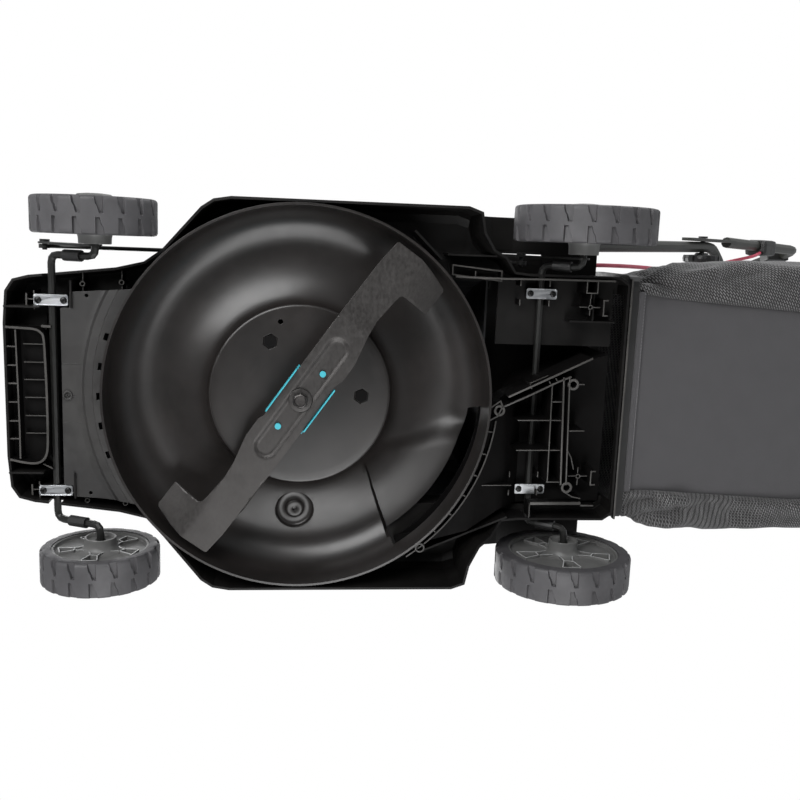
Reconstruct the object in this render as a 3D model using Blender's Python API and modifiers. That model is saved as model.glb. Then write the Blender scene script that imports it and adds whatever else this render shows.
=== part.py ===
"""Cordless rotary lawn mower with grass bag, folding handle and central height adjustment.

Metres, +Z up. Every piece is modelled in the mower's own frame: x to its left, y rearwards
from the front wheel axle, z up from the ground. One empty then carries them all, so that the
origin ends up at the bottom centre of the bounding box.
"""
import math

import bmesh
import bpy
from mathutils import Matrix, Vector

# Whole mower
Y_SHIFT = -0.5805
GAP = 0.0003

# Wheels
FRONT_WHEEL_R = 0.070
REAR_WHEEL_R = 0.0875
WHEELBASE = 0.5832
FRONT_TYRE_X = 0.186
FRONT_TYRE_W = 0.042
REAR_TYRE_X = 0.1974
REAR_TYRE_W = 0.0437
TREAD_BLOCKS = 18
TREAD_DEPTH = 0.0045
HUB_BOSS_R = 0.0185

# Cranked axles and their linkage
ROD_R = 0.0046
FRONT_ROD = (-0.0565, 0.098)
REAR_ROD = (0.5393, 0.1155)
FRONT_ARM_X = 0.161
REAR_ARM_X = 0.168
CRANK_RATIO = 1.28
FRONT_TO_PIN = (-0.022, 0.057)
REAR_TO_PIN = (FRONT_TO_PIN[0] / CRANK_RATIO, FRONT_TO_PIN[1] / CRANK_RATIO)
LINK_X = 0.1695
LINK_R = 0.0025
PIN_R = 0.003
LEVER_ANGLE = math.radians(125)
LEVER_LENGTH = 0.165

# Deck
WALL = 0.003
SKIRT_Z = 0.045
NOSE_Z = 0.085
REAR_Z = 0.088
SHOULDER_Z = 0.128
UPSTAND_Z = 0.165
HOOD_TOP_Z = 0.262
REAR_ROOF_Z = 0.240
REAR_FLOOR_Z = 0.1235
REAR_WALL_Y = 0.642

# Cutting chamber, motor and blade
CHAMBER_R = 0.2303
CHAMBER_X = 0.0012
CHAMBER_Y = 0.238
CHAMBER_RIM_Z = 0.042
SEAT_Z = 0.086
SEAT_R = 0.113
BOLT_CIRCLE_R = 0.075
BOLT_POCKET_R = 0.0092
BLADE_Z = 0.048
BLADE_T = 0.0035
BLADE_ANGLE = math.atan2(0.5725, 0.8189)

# Handle
TUBE_R = 0.0095
LOWER_TUBE_R = 0.009
CLAMP_Y = 0.921
CLAMP_Z = 0.500
LEG_SLOPE = math.radians(42)
KNOB_X = 0.1822
LOWER_LEG_X = 0.202
SOCKET = (0.195, 0.602, 0.216)
CORNER = (0.2045, 1.262, 0.808)
GRIP_END = (0.160, 1.243, 0.975)
GRIP_Z = 0.998

# Bag
BAG_FRONT_Y = 0.652

collection = bpy.data.collections.new("cordless_lawn_mower")
parts = {}


def clear_scene():
    for obj in list(bpy.data.objects):
        bpy.data.objects.remove(obj)
    bpy.context.scene.collection.children.link(collection)


def make_material(name, colour, roughness, metallic=0.0):
    material = bpy.data.materials.new(name)
    material.use_nodes = True
    shader = material.node_tree.nodes["Principled BSDF"]
    linear = [(c / 12.92 if c <= 0.04045 else ((c + 0.055) / 1.055) ** 2.4) for c in colour]
    shader.inputs["Base Color"].default_value = (*linear, 1.0)
    shader.inputs["Roughness"].default_value = roughness
    shader.inputs["Metallic"].default_value = metallic
    return material


FINISHES = {
    "deck_plastic": ((0.085, 0.080, 0.080), 0.55, 0.0),
    "cover_plastic": ((0.24, 0.235, 0.235), 0.55, 0.0),
    "hood_plastic": ((0.10, 0.10, 0.105), 0.45, 0.0),
    "black_plastic": ((0.06, 0.06, 0.06), 0.5, 0.0),
    "hub_plastic": ((0.49, 0.50, 0.51), 0.5, 0.0),
    "teal_plastic": ((0.26, 0.72, 0.78), 0.45, 0.0),
    "red_plastic": ((0.80, 0.16, 0.22), 0.45, 0.0),
    "tread_rubber": ((0.36, 0.355, 0.365), 0.8, 0.0),
    "black_steel": ((0.17, 0.17, 0.165), 0.4, 0.8),
    "zinc_steel": ((0.80, 0.81, 0.82), 0.35, 1.0),
    "blade_steel": ((0.29, 0.285, 0.28), 0.45, 0.8),
    "tube_steel": ((0.22, 0.22, 0.205), 0.45, 0.3),
    "grip_foam": ((0.20, 0.20, 0.20), 0.95, 0.0),
    "bag_fabric": ((0.335, 0.33, 0.34), 0.95, 0.0),
    "bag_mesh_cloth": ((0.23, 0.23, 0.23), 0.95, 0.0),
    "cable_sheath": ((0.90, 0.33, 0.42), 0.5, 0.0),
}
finish = {}


def add_object(name, mesh, finish_name, location=(0, 0, 0), rotation=(0, 0, 0)):
    """A finished sub-part, or a tool shape when it has no finish."""
    obj = bpy.data.objects.new(name, mesh)
    obj.location = location
    obj.rotation_euler = rotation
    collection.objects.link(obj)
    if finish_name:
        mesh.materials.clear()
        mesh.materials.append(finish[finish_name])
        parts[name] = obj
    bpy.context.view_layer.update()
    return obj


def mesh_from(bm, name):
    bmesh.ops.remove_doubles(bm, verts=bm.verts, dist=0.00001)
    bmesh.ops.dissolve_degenerate(bm, dist=0.00001, edges=bm.edges)
    bmesh.ops.recalc_face_normals(bm, faces=bm.faces)
    mesh = bpy.data.meshes.new(name)
    bm.to_mesh(mesh)
    bm.free()
    return mesh


def smooth(obj, angle=35):
    obj.data.shade_smooth()
    obj.data.set_sharp_from_angle(angle=math.radians(angle))
    return obj


def evaluated_mesh(obj):
    bpy.context.view_layer.update()
    depsgraph = bpy.context.evaluated_depsgraph_get()
    return bpy.data.meshes.new_from_object(obj.evaluated_get(depsgraph))


def bake(obj):
    """Turns a curve, or a mesh with modifiers, into a plain welded mesh."""
    bm = bmesh.new()
    bm.from_mesh(evaluated_mesh(obj))
    return mesh_from(bm, obj.name)


def combine(target, tool, operation):
    """Joins the tool to the target, or cuts it away, and removes the tool."""
    modifier = target.modifiers.new("combine", "BOOLEAN")
    modifier.operation = operation
    modifier.solver = "EXACT"
    modifier.object = tool
    mesh = evaluated_mesh(target)
    target.modifiers.clear()
    target.data = mesh
    bpy.data.objects.remove(tool)
    bpy.context.view_layer.update()
    return target


def join(target, *tools):
    for tool in tools:
        combine(target, tool, "UNION")
    return target


def cut(target, *tools):
    for tool in tools:
        combine(target, tool, "DIFFERENCE")
    return target


def block(size, centre, name="tool", finish_name=None, bevel=0.0, rotation=(0, 0, 0)):
    bm = bmesh.new()
    bmesh.ops.create_cube(bm, size=1.0)
    bmesh.ops.scale(bm, vec=Vector(size), verts=bm.verts)
    if bevel:
        bmesh.ops.bevel(bm, geom=bm.edges, offset=bevel, segments=2, profile=0.6, affect="EDGES")
    return add_object(name, mesh_from(bm, name), finish_name, centre, rotation)


AXIS_ROTATION = {
    "x": (0, math.pi / 2, 0),
    "y": (-math.pi / 2, 0, 0),
    "z": (0, 0, 0),
}


def rod(radius, length, centre, axis="z", name="tool", finish_name=None, sides=16, top=None,
        rotation=None):
    """A cylinder, or a cone when top gives the radius at its far end."""
    bm = bmesh.new()
    bmesh.ops.create_cone(bm, cap_ends=True, segments=sides, radius1=radius,
                          radius2=radius if top is None else top, depth=length)
    turn = AXIS_ROTATION[axis] if rotation is None else rotation
    return add_object(name, mesh_from(bm, name), finish_name, centre, turn)


def turned(profile, centre, axis="z", name="tool", finish_name=None, steps=16, closed=False,
           mirrored=False, phase=0.0):
    """Turns a profile of (radius, height) about its own z axis and lays it along an axis."""
    mesh = bpy.data.meshes.new(name + "_profile")
    side = -1 if mirrored else 1
    points = [(r * math.cos(phase), r * math.sin(phase), side * h) for r, h in profile]
    edges = [(i, i + 1) for i in range(len(points) - 1)]
    if closed:
        edges.append((len(points) - 1, 0))
    mesh.from_pydata(points, edges, [])
    guide = bpy.data.objects.new(name, mesh)
    collection.objects.link(guide)
    screw = guide.modifiers.new("turn", "SCREW")
    screw.axis = "Z"
    screw.steps = steps
    screw.render_steps = steps
    screw.use_merge_vertices = True
    screw.merge_threshold = 0.00005
    result = bake(guide)
    bpy.data.objects.remove(guide)
    return add_object(name, result, finish_name, centre, AXIS_ROTATION[axis])


def wire(points, radius, name="tool", finish_name=None, resolution=2, cyclic=False):
    """A round bar or tube along a list of points."""
    curve = bpy.data.curves.new(name, "CURVE")
    curve.dimensions = "3D"
    curve.bevel_depth = radius
    curve.bevel_resolution = resolution
    curve.use_fill_caps = not cyclic
    spline = curve.splines.new("POLY")
    spline.points.add(len(points) - 1)
    spline.use_cyclic_u = cyclic
    for target, point in zip(spline.points, points):
        target.co = (*point, 1.0)
    guide = bpy.data.objects.new(name, curve)
    collection.objects.link(guide)
    result = bake(guide)
    bpy.data.objects.remove(guide)
    return add_object(name, result, finish_name)


PLANE_MATRIX = {
    "xy": Matrix.Identity(4),
    "yz": Matrix(((0, 0, 1, 0), (1, 0, 0, 0), (0, 1, 0, 0), (0, 0, 0, 1))),
    "xz": Matrix(((1, 0, 0, 0), (0, 0, -1, 0), (0, 1, 0, 0), (0, 0, 0, 1))),
}


def plate(loops, low, high, plane="xy", name="tool", finish_name=None):
    """A flat outline, with any holes as further loops, between two heights off its plane."""
    curve = bpy.data.curves.new(name, "CURVE")
    curve.dimensions = "2D"
    curve.fill_mode = "BOTH"
    curve.extrude = (high - low) / 2
    for loop in loops:
        spline = curve.splines.new("POLY")
        spline.points.add(len(loop) - 1)
        spline.use_cyclic_u = True
        for target, point in zip(spline.points, loop):
            target.co = (point[0], point[1], 0.0, 1.0)
    guide = bpy.data.objects.new(name, curve)
    collection.objects.link(guide)
    mesh = bake(guide)
    bpy.data.objects.remove(guide)
    middle = (low + high) / 2
    if plane == "xz":
        middle = -middle
    mesh.transform(PLANE_MATRIX[plane] @ Matrix.Translation((0, 0, middle)))
    if plane == "xz":
        mesh.update()
    return add_object(name, mesh, finish_name)


def circle(centre, radius, count=16, start=0.0, end=2 * math.pi):
    """Points of a circle, or of an arc that includes both of its ends."""
    whole = abs(end - start - 2 * math.pi) < 1e-6
    steps = count if whole else count - 1
    return [(centre[0] + radius * math.cos(start + (end - start) * i / steps),
             centre[1] + radius * math.sin(start + (end - start) * i / steps))
            for i in range(count)]


def band(centre, inner, outer, start, end, count=16):
    """Outline of a stretch of a flat ring."""
    far = circle(centre, outer, count, start, end)
    near = circle(centre, inner, count, start, end)
    return far + near[::-1]


def rounded_box(x0, x1, y0, y1, radius, corner=4):
    points = []
    for cx, cy, start in ((x1, y1, 0), (x0, y1, 90), (x0, y0, 180), (x1, y0, 270)):
        inner = (cx - radius if cx == x1 else cx + radius, cy - radius if cy == y1 else cy + radius)
        angle = math.radians(start)
        points += circle(inner, radius, corner, angle, angle + math.pi / 2)
    return points


def slot(a, b, half_width, count=7):
    """Outline with round ends between two points."""
    angle = math.atan2(b[1] - a[1], b[0] - a[0])
    quarter = math.pi / 2
    return (circle(b, half_width, count, angle - quarter, angle + quarter)
            + circle(a, half_width, count, angle + quarter, angle + 3 * quarter))


def mirror_points(points):
    return points + [(-p[0], *p[1:]) for p in points[::-1] if abs(p[0]) > 1e-6]


def loft(levels, closed_loop=True, cap_first=False, cap_last=False):
    """A surface through loops of equal length, capped where asked."""
    bm = bmesh.new()
    rows = [[bm.verts.new(point) for point in level] for level in levels]
    count = len(rows[0])
    for low, high in zip(rows, rows[1:]):
        for i in range(count if closed_loop else count - 1):
            j = (i + 1) % count
            bm.faces.new((low[i], low[j], high[j], high[i]))
    if cap_first:
        bm.faces.new(rows[0][::-1])
    if cap_last:
        bm.faces.new(rows[-1])
    return bm


def shell(bm, thickness, name="tool", finish_name=None):
    """Gives an open surface a wall that grows inwards."""
    mesh = mesh_from(bm, name)
    guide = bpy.data.objects.new(name, mesh)
    collection.objects.link(guide)
    solidify = guide.modifiers.new("wall", "SOLIDIFY")
    solidify.thickness = thickness
    solidify.offset = -1.0
    solidify.use_even_offset = True
    result = bake(guide)
    bpy.data.objects.remove(guide)
    return add_object(name, result, finish_name)


def side_name(side):
    return "left" if side > 0 else "right"


# Half outline of the deck: x, y, height of the lower edge, then x, y where the hood stands
DECK_HALF = [
    (0.000, -0.110, NOSE_Z, 0.000, -0.075),
    (0.080, -0.110, NOSE_Z, 0.060, -0.075),
    (0.118, -0.107, NOSE_Z, 0.090, -0.072),
    (0.132, -0.098, NOSE_Z, 0.104, -0.062),
    (0.137, -0.080, NOSE_Z, 0.110, -0.048),
    (0.149, 0.020, NOSE_Z, 0.125, 0.020),
    (0.157, 0.052, NOSE_Z, 0.132, 0.050),
    (0.172, 0.076, 0.060, 0.138, 0.076),
    (0.222, 0.122, SKIRT_Z, 0.146, 0.122),
    (0.2315, 0.136, SKIRT_Z, 0.149, 0.140),
    (0.235, 0.156, SKIRT_Z, 0.150, 0.160),
    (0.235, 0.300, SKIRT_Z, 0.150, 0.300),
    (0.235, 0.430, SKIRT_Z, 0.150, 0.430),
    (0.229, 0.447, SKIRT_Z, 0.150, 0.440),
    (0.205, 0.452, SKIRT_Z, 0.150, 0.448),
    (0.186, 0.467, 0.060, 0.150, 0.458),
    (0.178, 0.485, 0.075, 0.150, 0.468),
    (0.160, 0.500, REAR_Z, 0.150, 0.476),
    (0.158, 0.520, REAR_Z, 0.150, 0.482),
    (0.158, 0.634, REAR_Z, 0.150, 0.630),
    (0.149, 0.647, REAR_Z, 0.143, REAR_WALL_Y),
    (0.000, 0.647, REAR_Z, 0.000, REAR_WALL_Y),
]


def deck_level(share, height=None):
    """A loop part of the way from the deck's outer outline to the foot of the hood."""
    half = []
    for x, y, low, inner_x, inner_y in DECK_HALF:
        half.append((x + share * (inner_x - x), y + share * (inner_y - y),
                     low if height is None else height))
    return mirror_points(half)


def build_deck_shell():
    levels = [
        deck_level(0.0),
        deck_level(0.015, SHOULDER_Z - 0.020),
        deck_level(0.08, SHOULDER_Z - 0.006),
        deck_level(0.22, SHOULDER_Z),
        deck_level(1.0, SHOULDER_Z + 0.001),
        deck_level(1.0, UPSTAND_Z),
    ]
    deck = shell(loft(levels), WALL, "deck_shell", "deck_plastic")
    cut(deck, block((0.270, 0.03, 0.140), (0, 0.645, 0.168)))
    join(deck, plate([[(0.0665, 0.486), (0.1558, 0.486), (0.1558, 0.638), (0.0665, 0.638)]],
                     REAR_FLOOR_Z, REAR_FLOOR_Z + WALL))
    for x in (0.108, -0.124):
        join(deck, axle_saddle(x, FRONT_ROD, SHOULDER_Z - 0.001))
    join(deck, axle_saddle(0.133, REAR_ROD, REAR_FLOOR_Z + 0.001))
    for rib in deck_ribs():
        join(deck, rib)
    for side in (1, -1):
        for x, (y, z) in ((0.140, FRONT_ROD), (0.1545, REAR_ROD)):
            cut(deck, block((0.024, 0.015, 0.030), (side * x, y, z - 0.0085)))
    return deck


def axle_saddle(x, rod_centre, top):
    """Block under the deck with a half-round groove for an axle rod."""
    y, z = rod_centre
    foot = z + 0.0004
    saddle = block((0.012, 0.036, top - foot), (x, y, (top + foot) / 2))
    return cut(saddle, rod(ROD_R + 0.0009, 0.05, (x, y, z), "x"))


def deck_ribs():
    """Stiffening ribs that hang from the deck's roof beside the chamber and the rear axle."""
    roof = SHOULDER_Z - 0.0015
    ribs = []

    def rib(x0, y0, x1, y1, low, width=0.0022):
        length = math.hypot(x1 - x0, y1 - y0)
        angle = math.atan2(y1 - y0, x1 - x0)
        ribs.append(block((length, width, roof - low), ((x0 + x1) / 2, (y0 + y1) / 2, (roof + low) / 2),
                          rotation=(0, 0, angle)))

    rib(0.1512, 0.430, 0.1512, 0.634, 0.096)
    rib(0.178, 0.414, 0.178, 0.476, 0.092)
    rib(-0.1985, 0.398, -0.1535, 0.506, 0.086, 0.0026)
    rib(0.100, 0.605, 0.1512, 0.605, 0.100)
    rib(0.100, 0.575, 0.100, 0.634, 0.100)
    rib(0.205, 0.371, 0.172, 0.405, 0.075, 0.003)
    for side in (1, -1):
        rib(side * 0.100, -0.108, side * 0.100, -0.068, 0.082)
        rib(side * 0.100, -0.032, side * 0.132, -0.032, 0.084)
    return ribs


def build_cutting_chamber():
    """Ring wall with a domed roof that dips to a flat seat for the motor."""
    profile = [(CHAMBER_R, CHAMBER_RIM_Z), (CHAMBER_R - 0.001, 0.088)]
    bend = (CHAMBER_R - 0.028, 0.096)
    profile += circle(bend, 0.026, 4, 0.0, math.pi / 2)
    profile += [(0.172, 0.1225), (0.150, 0.1165), (0.131, 0.104), (SEAT_R + 0.006, SEAT_Z + 0.006),
                (SEAT_R, SEAT_Z + WALL), (0.018, SEAT_Z + WALL)]
    surface = turned(profile, (0, 0, 0), name="chamber_surface", steps=36)
    bm = bmesh.new()
    bm.from_mesh(surface.data)
    bpy.data.objects.remove(surface)
    chamber = shell(bm, WALL, "cutting_chamber", "deck_plastic")
    chamber.location = (CHAMBER_X, CHAMBER_Y, 0.0)
    window = plate([band((CHAMBER_X, CHAMBER_Y), 0.2125, 0.262, math.radians(33), math.radians(87), 10)],
                   0.080, 0.150)
    mirror_about_chamber(window)
    cut(chamber, window)
    for angle in (90, 210, 330):
        x, y = polar(BOLT_CIRCLE_R, angle)
        cut(chamber, rod(BOLT_POCKET_R, 0.03, (x, y, SEAT_Z), sides=6))
    cut(chamber, rod(0.003, 0.03, (0.0906, 0.2126, SEAT_Z), sides=8))
    recess = turned([(0.026, 0.104), (0.026, 0.119), (0.023, 0.119), (0.023, 0.104)],
                    (-0.1515, 0.2320, 0), closed=True, steps=14)
    join(chamber, recess)
    return smooth(chamber)


def polar(radius, degrees):
    """Point about the blade's axis, with 90 degrees pointing rearwards."""
    angle = math.radians(degrees)
    return CHAMBER_X + radius * math.cos(angle), CHAMBER_Y + radius * math.sin(angle)


def mirror_about_chamber(obj):
    """Moves a shape made on the mower's left to the same place on its right."""
    obj.data.transform(Matrix.Translation((2 * CHAMBER_X, 0, 0)) @ Matrix.Scale(-1, 4, (1, 0, 0)))
    obj.data.flip_normals()
    bpy.context.view_layer.update()


def build_front_cover():
    """Panel between the front axle and the chamber, with five slots and a raised band."""
    left, right, front, z = 0.118, -0.126, -0.043, 0.080
    ring = CHAMBER_R + 0.0025
    arc = circle((CHAMBER_X, CHAMBER_Y), ring, 15, math.radians(233.1), math.radians(302))
    outline = [(right - 0.0040, front), (right - 0.0063, -0.001)] + arc
    outline += [(left + 0.0039, 0.0096), (left + 0.0008, front)]
    cover = plate([outline], z, z + 0.0025, name="front_cover", finish_name="cover_plastic")
    rise = plate([band((CHAMBER_X, CHAMBER_Y), ring + 0.002, ring + 0.021, math.radians(238),
                       math.radians(302), 12)], z - 0.004, z + 0.001)
    join(cover, rise)
    for i in range(5):
        angle = 270 + 9.5 * (i - 2)
        x, y = polar(ring + 0.0115, angle)
        cut(cover, block((0.012, 0.005, 0.03), (x, y, z), rotation=(0, 0, math.radians(angle + 90))))
    for x in (0.112, -0.122):
        cut(cover, rod(0.003, 0.02, (x, -0.015, z), sides=10))
    join(cover, rod(0.006, 0.006, (-0.004, -0.034, z - 0.002), sides=12))
    return cover


def build_front_grip():
    """Carrying recess in the nose: a rounded rim, a divider and two rows of comb ribs."""
    x0, x1, y0, y1 = -0.088, 0.076, -0.105, -0.0635
    low, high = NOSE_Z + 0.001, 0.104
    rim = plate([rounded_box(x0, x1, y0, y1, 0.011), rounded_box(x0 + 0.0024, x1 - 0.0024, y0 + 0.0024,
                                                                y1 - 0.0024, 0.009)],
                low, high, name="front_grip", finish_name="deck_plastic")
    divider_y = -0.090
    join(rim, block((x1 - x0 - 0.003, 0.0022, high - low), ((x0 + x1) / 2, divider_y, (low + high) / 2)))
    count = 7
    for i in range(count):
        x = x0 + (x1 - x0) * (i + 0.5) / count
        join(rim, block((0.0022, divider_y - y0 - 0.001, 0.018), (x, (divider_y + y0) / 2, high - 0.009)))
    join(rim, block((x1 - x0 - 0.004, y1 - y0 - 0.004, 0.002), ((x0 + x1) / 2, (y0 + y1) / 2, high - 0.001)))
    return rim


def build_discharge_chute():
    """Tunnel that climbs from the chamber's window over the rear axle, ribbed underneath."""
    ring = CHAMBER_R + 0.0036
    arc = [mirrored_polar(ring, degrees) for degrees in (87, 76, 65, 54, 43, 33)]
    sections = [
        (arc, 0.078, 0.1235),
        (spread((-0.002, 0.480), (-0.170, 0.452), 6), 0.080, 0.1243),
        (spread((0.008, 0.499), (-0.1445, 0.499), 6), 0.096, 0.1243),
        (spread((0.020, 0.5245), (-0.1435, 0.5245), 6), REAR_FLOOR_Z, 0.190),
        (spread((0.056, 0.6375), (-0.1415, 0.6375), 6), REAR_FLOOR_Z, 0.215),
    ]
    levels = []
    for line, floor, roof in sections:
        levels.append([(x, y, floor) for x, y in line] + [(x, y, roof) for x, y in line[::-1]])
    chute = shell(loft(levels), 0.0025, "discharge_chute", "deck_plastic")
    low = 0.086

    def rib(x0, y0, x1, y1, width=0.002, bottom=low, top=REAR_FLOOR_Z + 0.001):
        length = math.hypot(x1 - x0, y1 - y0)
        angle = math.atan2(y1 - y0, x1 - x0)
        join(chute, block((length, width, top - bottom), ((x0 + x1) / 2, (y0 + y1) / 2, (top + bottom) / 2),
                          rotation=(0, 0, angle)))

    rib(0.016, 0.5250, -0.114, 0.5250, 0.0028)
    rib(0.030, 0.5600, -0.132, 0.5600)
    rib(0.036, 0.5810, -0.132, 0.5810, 0.003)
    for x in (0.000, -0.024, -0.062, -0.102):
        rib(x, 0.5595, x, 0.5815)
    rib(0.006, 0.500, 0.050, 0.600, 0.0024)
    rib(0.018, 0.495, 0.062, 0.595, 0.0024)
    for share in (0.15, 0.4, 0.65, 0.9):
        rib(0.006 + 0.044 * share, 0.500 + 0.1 * share, 0.018 + 0.044 * share, 0.495 + 0.1 * share)
    brace = plate([[(2 * CHAMBER_X - x, y) for x, y in
                    band((CHAMBER_X, CHAMBER_Y), ring + 0.0092, ring + 0.0115, math.radians(34),
                         math.radians(86), 10)]], 0.066, 0.079)
    join(chute, brace)
    for degrees in (82, 72, 62, 52, 42):
        inner, outer = mirrored_polar(ring + 0.0004, degrees), mirrored_polar(ring + 0.010, degrees)
        rib(*inner, *outer, 0.002, 0.066, 0.079)
    for x, y, radius in ((-0.011, 0.483, 0.0075), (-0.188, 0.392, 0.006)):
        boss = rod(radius, 0.014, (x, y, 0.0735), sides=12)
        cut(boss, rod(radius - 0.003, 0.012, (x, y, 0.0675), sides=12))
        join(chute, boss)
    join(chute, axle_saddle(-0.122, REAR_ROD, REAR_FLOOR_Z + 0.001))
    cut(chute, block((0.070, 0.013, 0.040), (0.035, REAR_ROD[0], REAR_ROD[1] - 0.0138)))
    cut(chute, rod(CHAMBER_R + 0.0008, 0.2, (CHAMBER_X, CHAMBER_Y, 0.1), sides=40))
    lip = band((CHAMBER_X, CHAMBER_Y), 0.206, ring + 0.004, math.radians(34), math.radians(86), 10)
    join(chute, plate([[(2 * CHAMBER_X - x, y) for x, y in lip]], 0.1226, 0.1242))
    return chute


def mirrored_polar(radius, degrees):
    """Point about the blade's axis on the mower's right, 90 degrees being straight back."""
    x, y = polar(radius, degrees)
    return 2 * CHAMBER_X - x, y


def spread(a, b, count):
    """Evenly spaced points from one end to the other."""
    return [point_between(a, b, i / (count - 1)) for i in range(count)]


def build_axle_clamps():
    """Zinc plates that hold the axle rods in their saddles, each with two screw heads."""
    places = {
        "front_left": (0.108, FRONT_ROD),
        "front_right": (-0.124, FRONT_ROD),
        "rear_left": (0.133, REAR_ROD),
        "rear_right": (-0.122, REAR_ROD),
    }
    for place, (x, (y, z)) in places.items():
        top = z - ROD_R - 0.0005
        strap = plate([rounded_box(x - 0.0065, x + 0.0065, y - 0.0195, y + 0.0195, 0.0025, 3)],
                      top - 0.0016, top, name="axle_clamp_" + place, finish_name="zinc_steel")
        for offset in (-0.0145, 0.0145):
            join(strap, rod(0.0036, 0.0022, (x, y + offset, top - 0.0024), sides=12))
            join(strap, rod(0.0018, z - top + 0.0004, (x, y + offset, (z + top) / 2), sides=8))


# Underside of the roof over a rear wheel, from the front: y, z
ARCH_LINE = [(0.4440, 0.1305), (0.4500, 0.1540), (0.4640, 0.1780), (0.4880, 0.1945), (0.5200, 0.2015),
             (0.6380, 0.2015)]
ARCH_INNER_X = 0.1512
ARCH_OUTER_X = 0.2285


def wheel_arch(side):
    """Roof over a rear wheel. The left one is slotted for the height lever and the link rod."""
    line = [Vector(point) for point in ARCH_LINE]
    back = []
    for i, point in enumerate(line):
        run = (line[min(i + 1, len(line) - 1)] - line[max(i - 1, 0)]).normalized()
        back.append(point + Vector((-run.y, run.x)) * WALL)
    loop = [tuple(point) for point in line + back[::-1]]
    inner, outer = sorted((side * ARCH_INNER_X, side * ARCH_OUTER_X))
    arch = plate([loop], inner, outer, "yz")
    roof_z = ARCH_LINE[-1][1] + WALL / 2
    join(arch, block((0.0050, 0.1080, WALL), (side * 0.1505, 0.5740, roof_z)))
    if side > 0:
        cut(arch, block((0.0225, 0.137, 0.12), (0.17425, 0.4915, 0.170)))
    return arch


def build_rear_housing():
    """Roof over the discharge opening, with hinge lugs for the flap."""
    half = [(x, y) for _, _, _, x, y in DECK_HALF[18:]]
    half = [(0.0, 0.4825), (0.150, 0.4825)] + half[1:]
    inset = [(max(x - 0.006, 0.0), y) for x, y in half]
    levels = [
        mirror_points([(x, y, UPSTAND_Z + 0.0005) for x, y in half]),
        mirror_points([(x, y, REAR_ROOF_Z - 0.008) for x, y in half]),
        mirror_points([(x, y, REAR_ROOF_Z) for x, y in inset]),
    ]
    housing = shell(loft(levels, cap_last=True), WALL, "rear_housing", "deck_plastic")
    cut(housing, block((0.270, 0.03, 0.14), (0, 0.640, 0.157)))
    cut(housing, block((0.270, 0.02, 0.058), (0, 0.4835, 0.192)))
    for side in (1, -1):
        join(housing, wheel_arch(side))
    for x in (-0.131, 0.131):
        join(housing, plate([slot((0.632, 0.236), FLAP_AXIS, 0.007)], x - 0.004, x + 0.004, "yz"))
    join(housing, rod(0.003, 0.264, (0, *FLAP_AXIS), "x", sides=12))
    join(housing, rod(0.0085, 0.016, (0.118, 0.600, REAR_ROOF_Z + 0.004), sides=12, top=0.006))
    cut(housing, rod(0.0042, 0.05, (0.118, 0.600, REAR_ROOF_Z), sides=12))
    return housing


FLAP_AXIS = (0.634, 0.262)


def build_rear_flap():
    """Spring-loaded flap that lies on the bag's frame while the bag is hooked on."""
    y, z = FLAP_AXIS
    outline = [(y, z + 0.0055), (y, z + 0.0025), (y + 0.015, z + 0.0045), (y + 0.060, z + 0.0035),
               (y + 0.069, z + 0.0015), (y + 0.071, z + 0.004), (y + 0.061, z + 0.0075),
               (y + 0.015, z + 0.0085)]
    flap = plate([outline], -0.148, 0.148, "yz", "rear_flap", "hood_plastic")
    cut(flap, block((0.012, 0.020, 0.03), (0.131, y, z)))
    cut(flap, block((0.012, 0.020, 0.03), (-0.131, y, z)))
    barrel = rod(0.006, 0.250, (0, y, z), "x")
    join(flap, barrel)
    cut(flap, rod(0.0034, 0.4, (0, y, z), "x"))
    for x in (-0.08, -0.04, 0.0, 0.04, 0.08):
        join(flap, block((0.003, 0.042, 0.004), (x, y + 0.038, z + 0.009)))
    return flap


def build_motor_cover():
    """Moulded hood over the motor and the battery bay, with an opening under the lid."""
    rows = DECK_HALF[:19]
    half = [(x, y) for _, _, _, x, y in rows[:-1]] + [(0.150, 0.4815), (0.0, 0.4815)]

    def level(height, inset, rear_inset=0.0):
        points = []
        for x, y in half:
            share = (x / 0.150) if x else 0.0
            shift = inset * (1.0 if y < 0.05 else 0.0) * (1 - min(max((y + 0.075) / 0.125, 0.0), 1.0))
            rear = rear_inset if y > 0.43 else 0.0
            points.append((x - inset * 0.55 * share, y + shift * 1.6 - rear, height))
        return mirror_points(points)

    levels = [
        level(UPSTAND_Z + 0.0018, 0.0),
        level(0.205, 0.010),
        level(0.238, 0.026, 0.004),
        level(0.256, 0.052, 0.012),
        level(HOOD_TOP_Z, 0.085, 0.024),
    ]
    hood = shell(loft(levels, cap_last=True), WALL, "motor_cover", "hood_plastic")
    cut(hood, plate([rounded_box(-0.080, 0.080, 0.108, 0.332, 0.012)], 0.22, 0.30))
    for i in range(6):
        y = 0.362 + 0.013 * i
        cut(hood, block((0.090, 0.005, 0.06), (0, y, HOOD_TOP_Z)))
    for x in (-0.070, 0.070):
        join(hood, plate([slot((LID_AXIS[0], HOOD_TOP_Z - 0.002), LID_AXIS, 0.006)], x - 0.003, x + 0.003,
                         "yz"))
    join(hood, rod(0.003, 0.142, (0, *LID_AXIS), "x", sides=12))
    return hood


LID_AXIS = (0.094, 0.2725)


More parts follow.
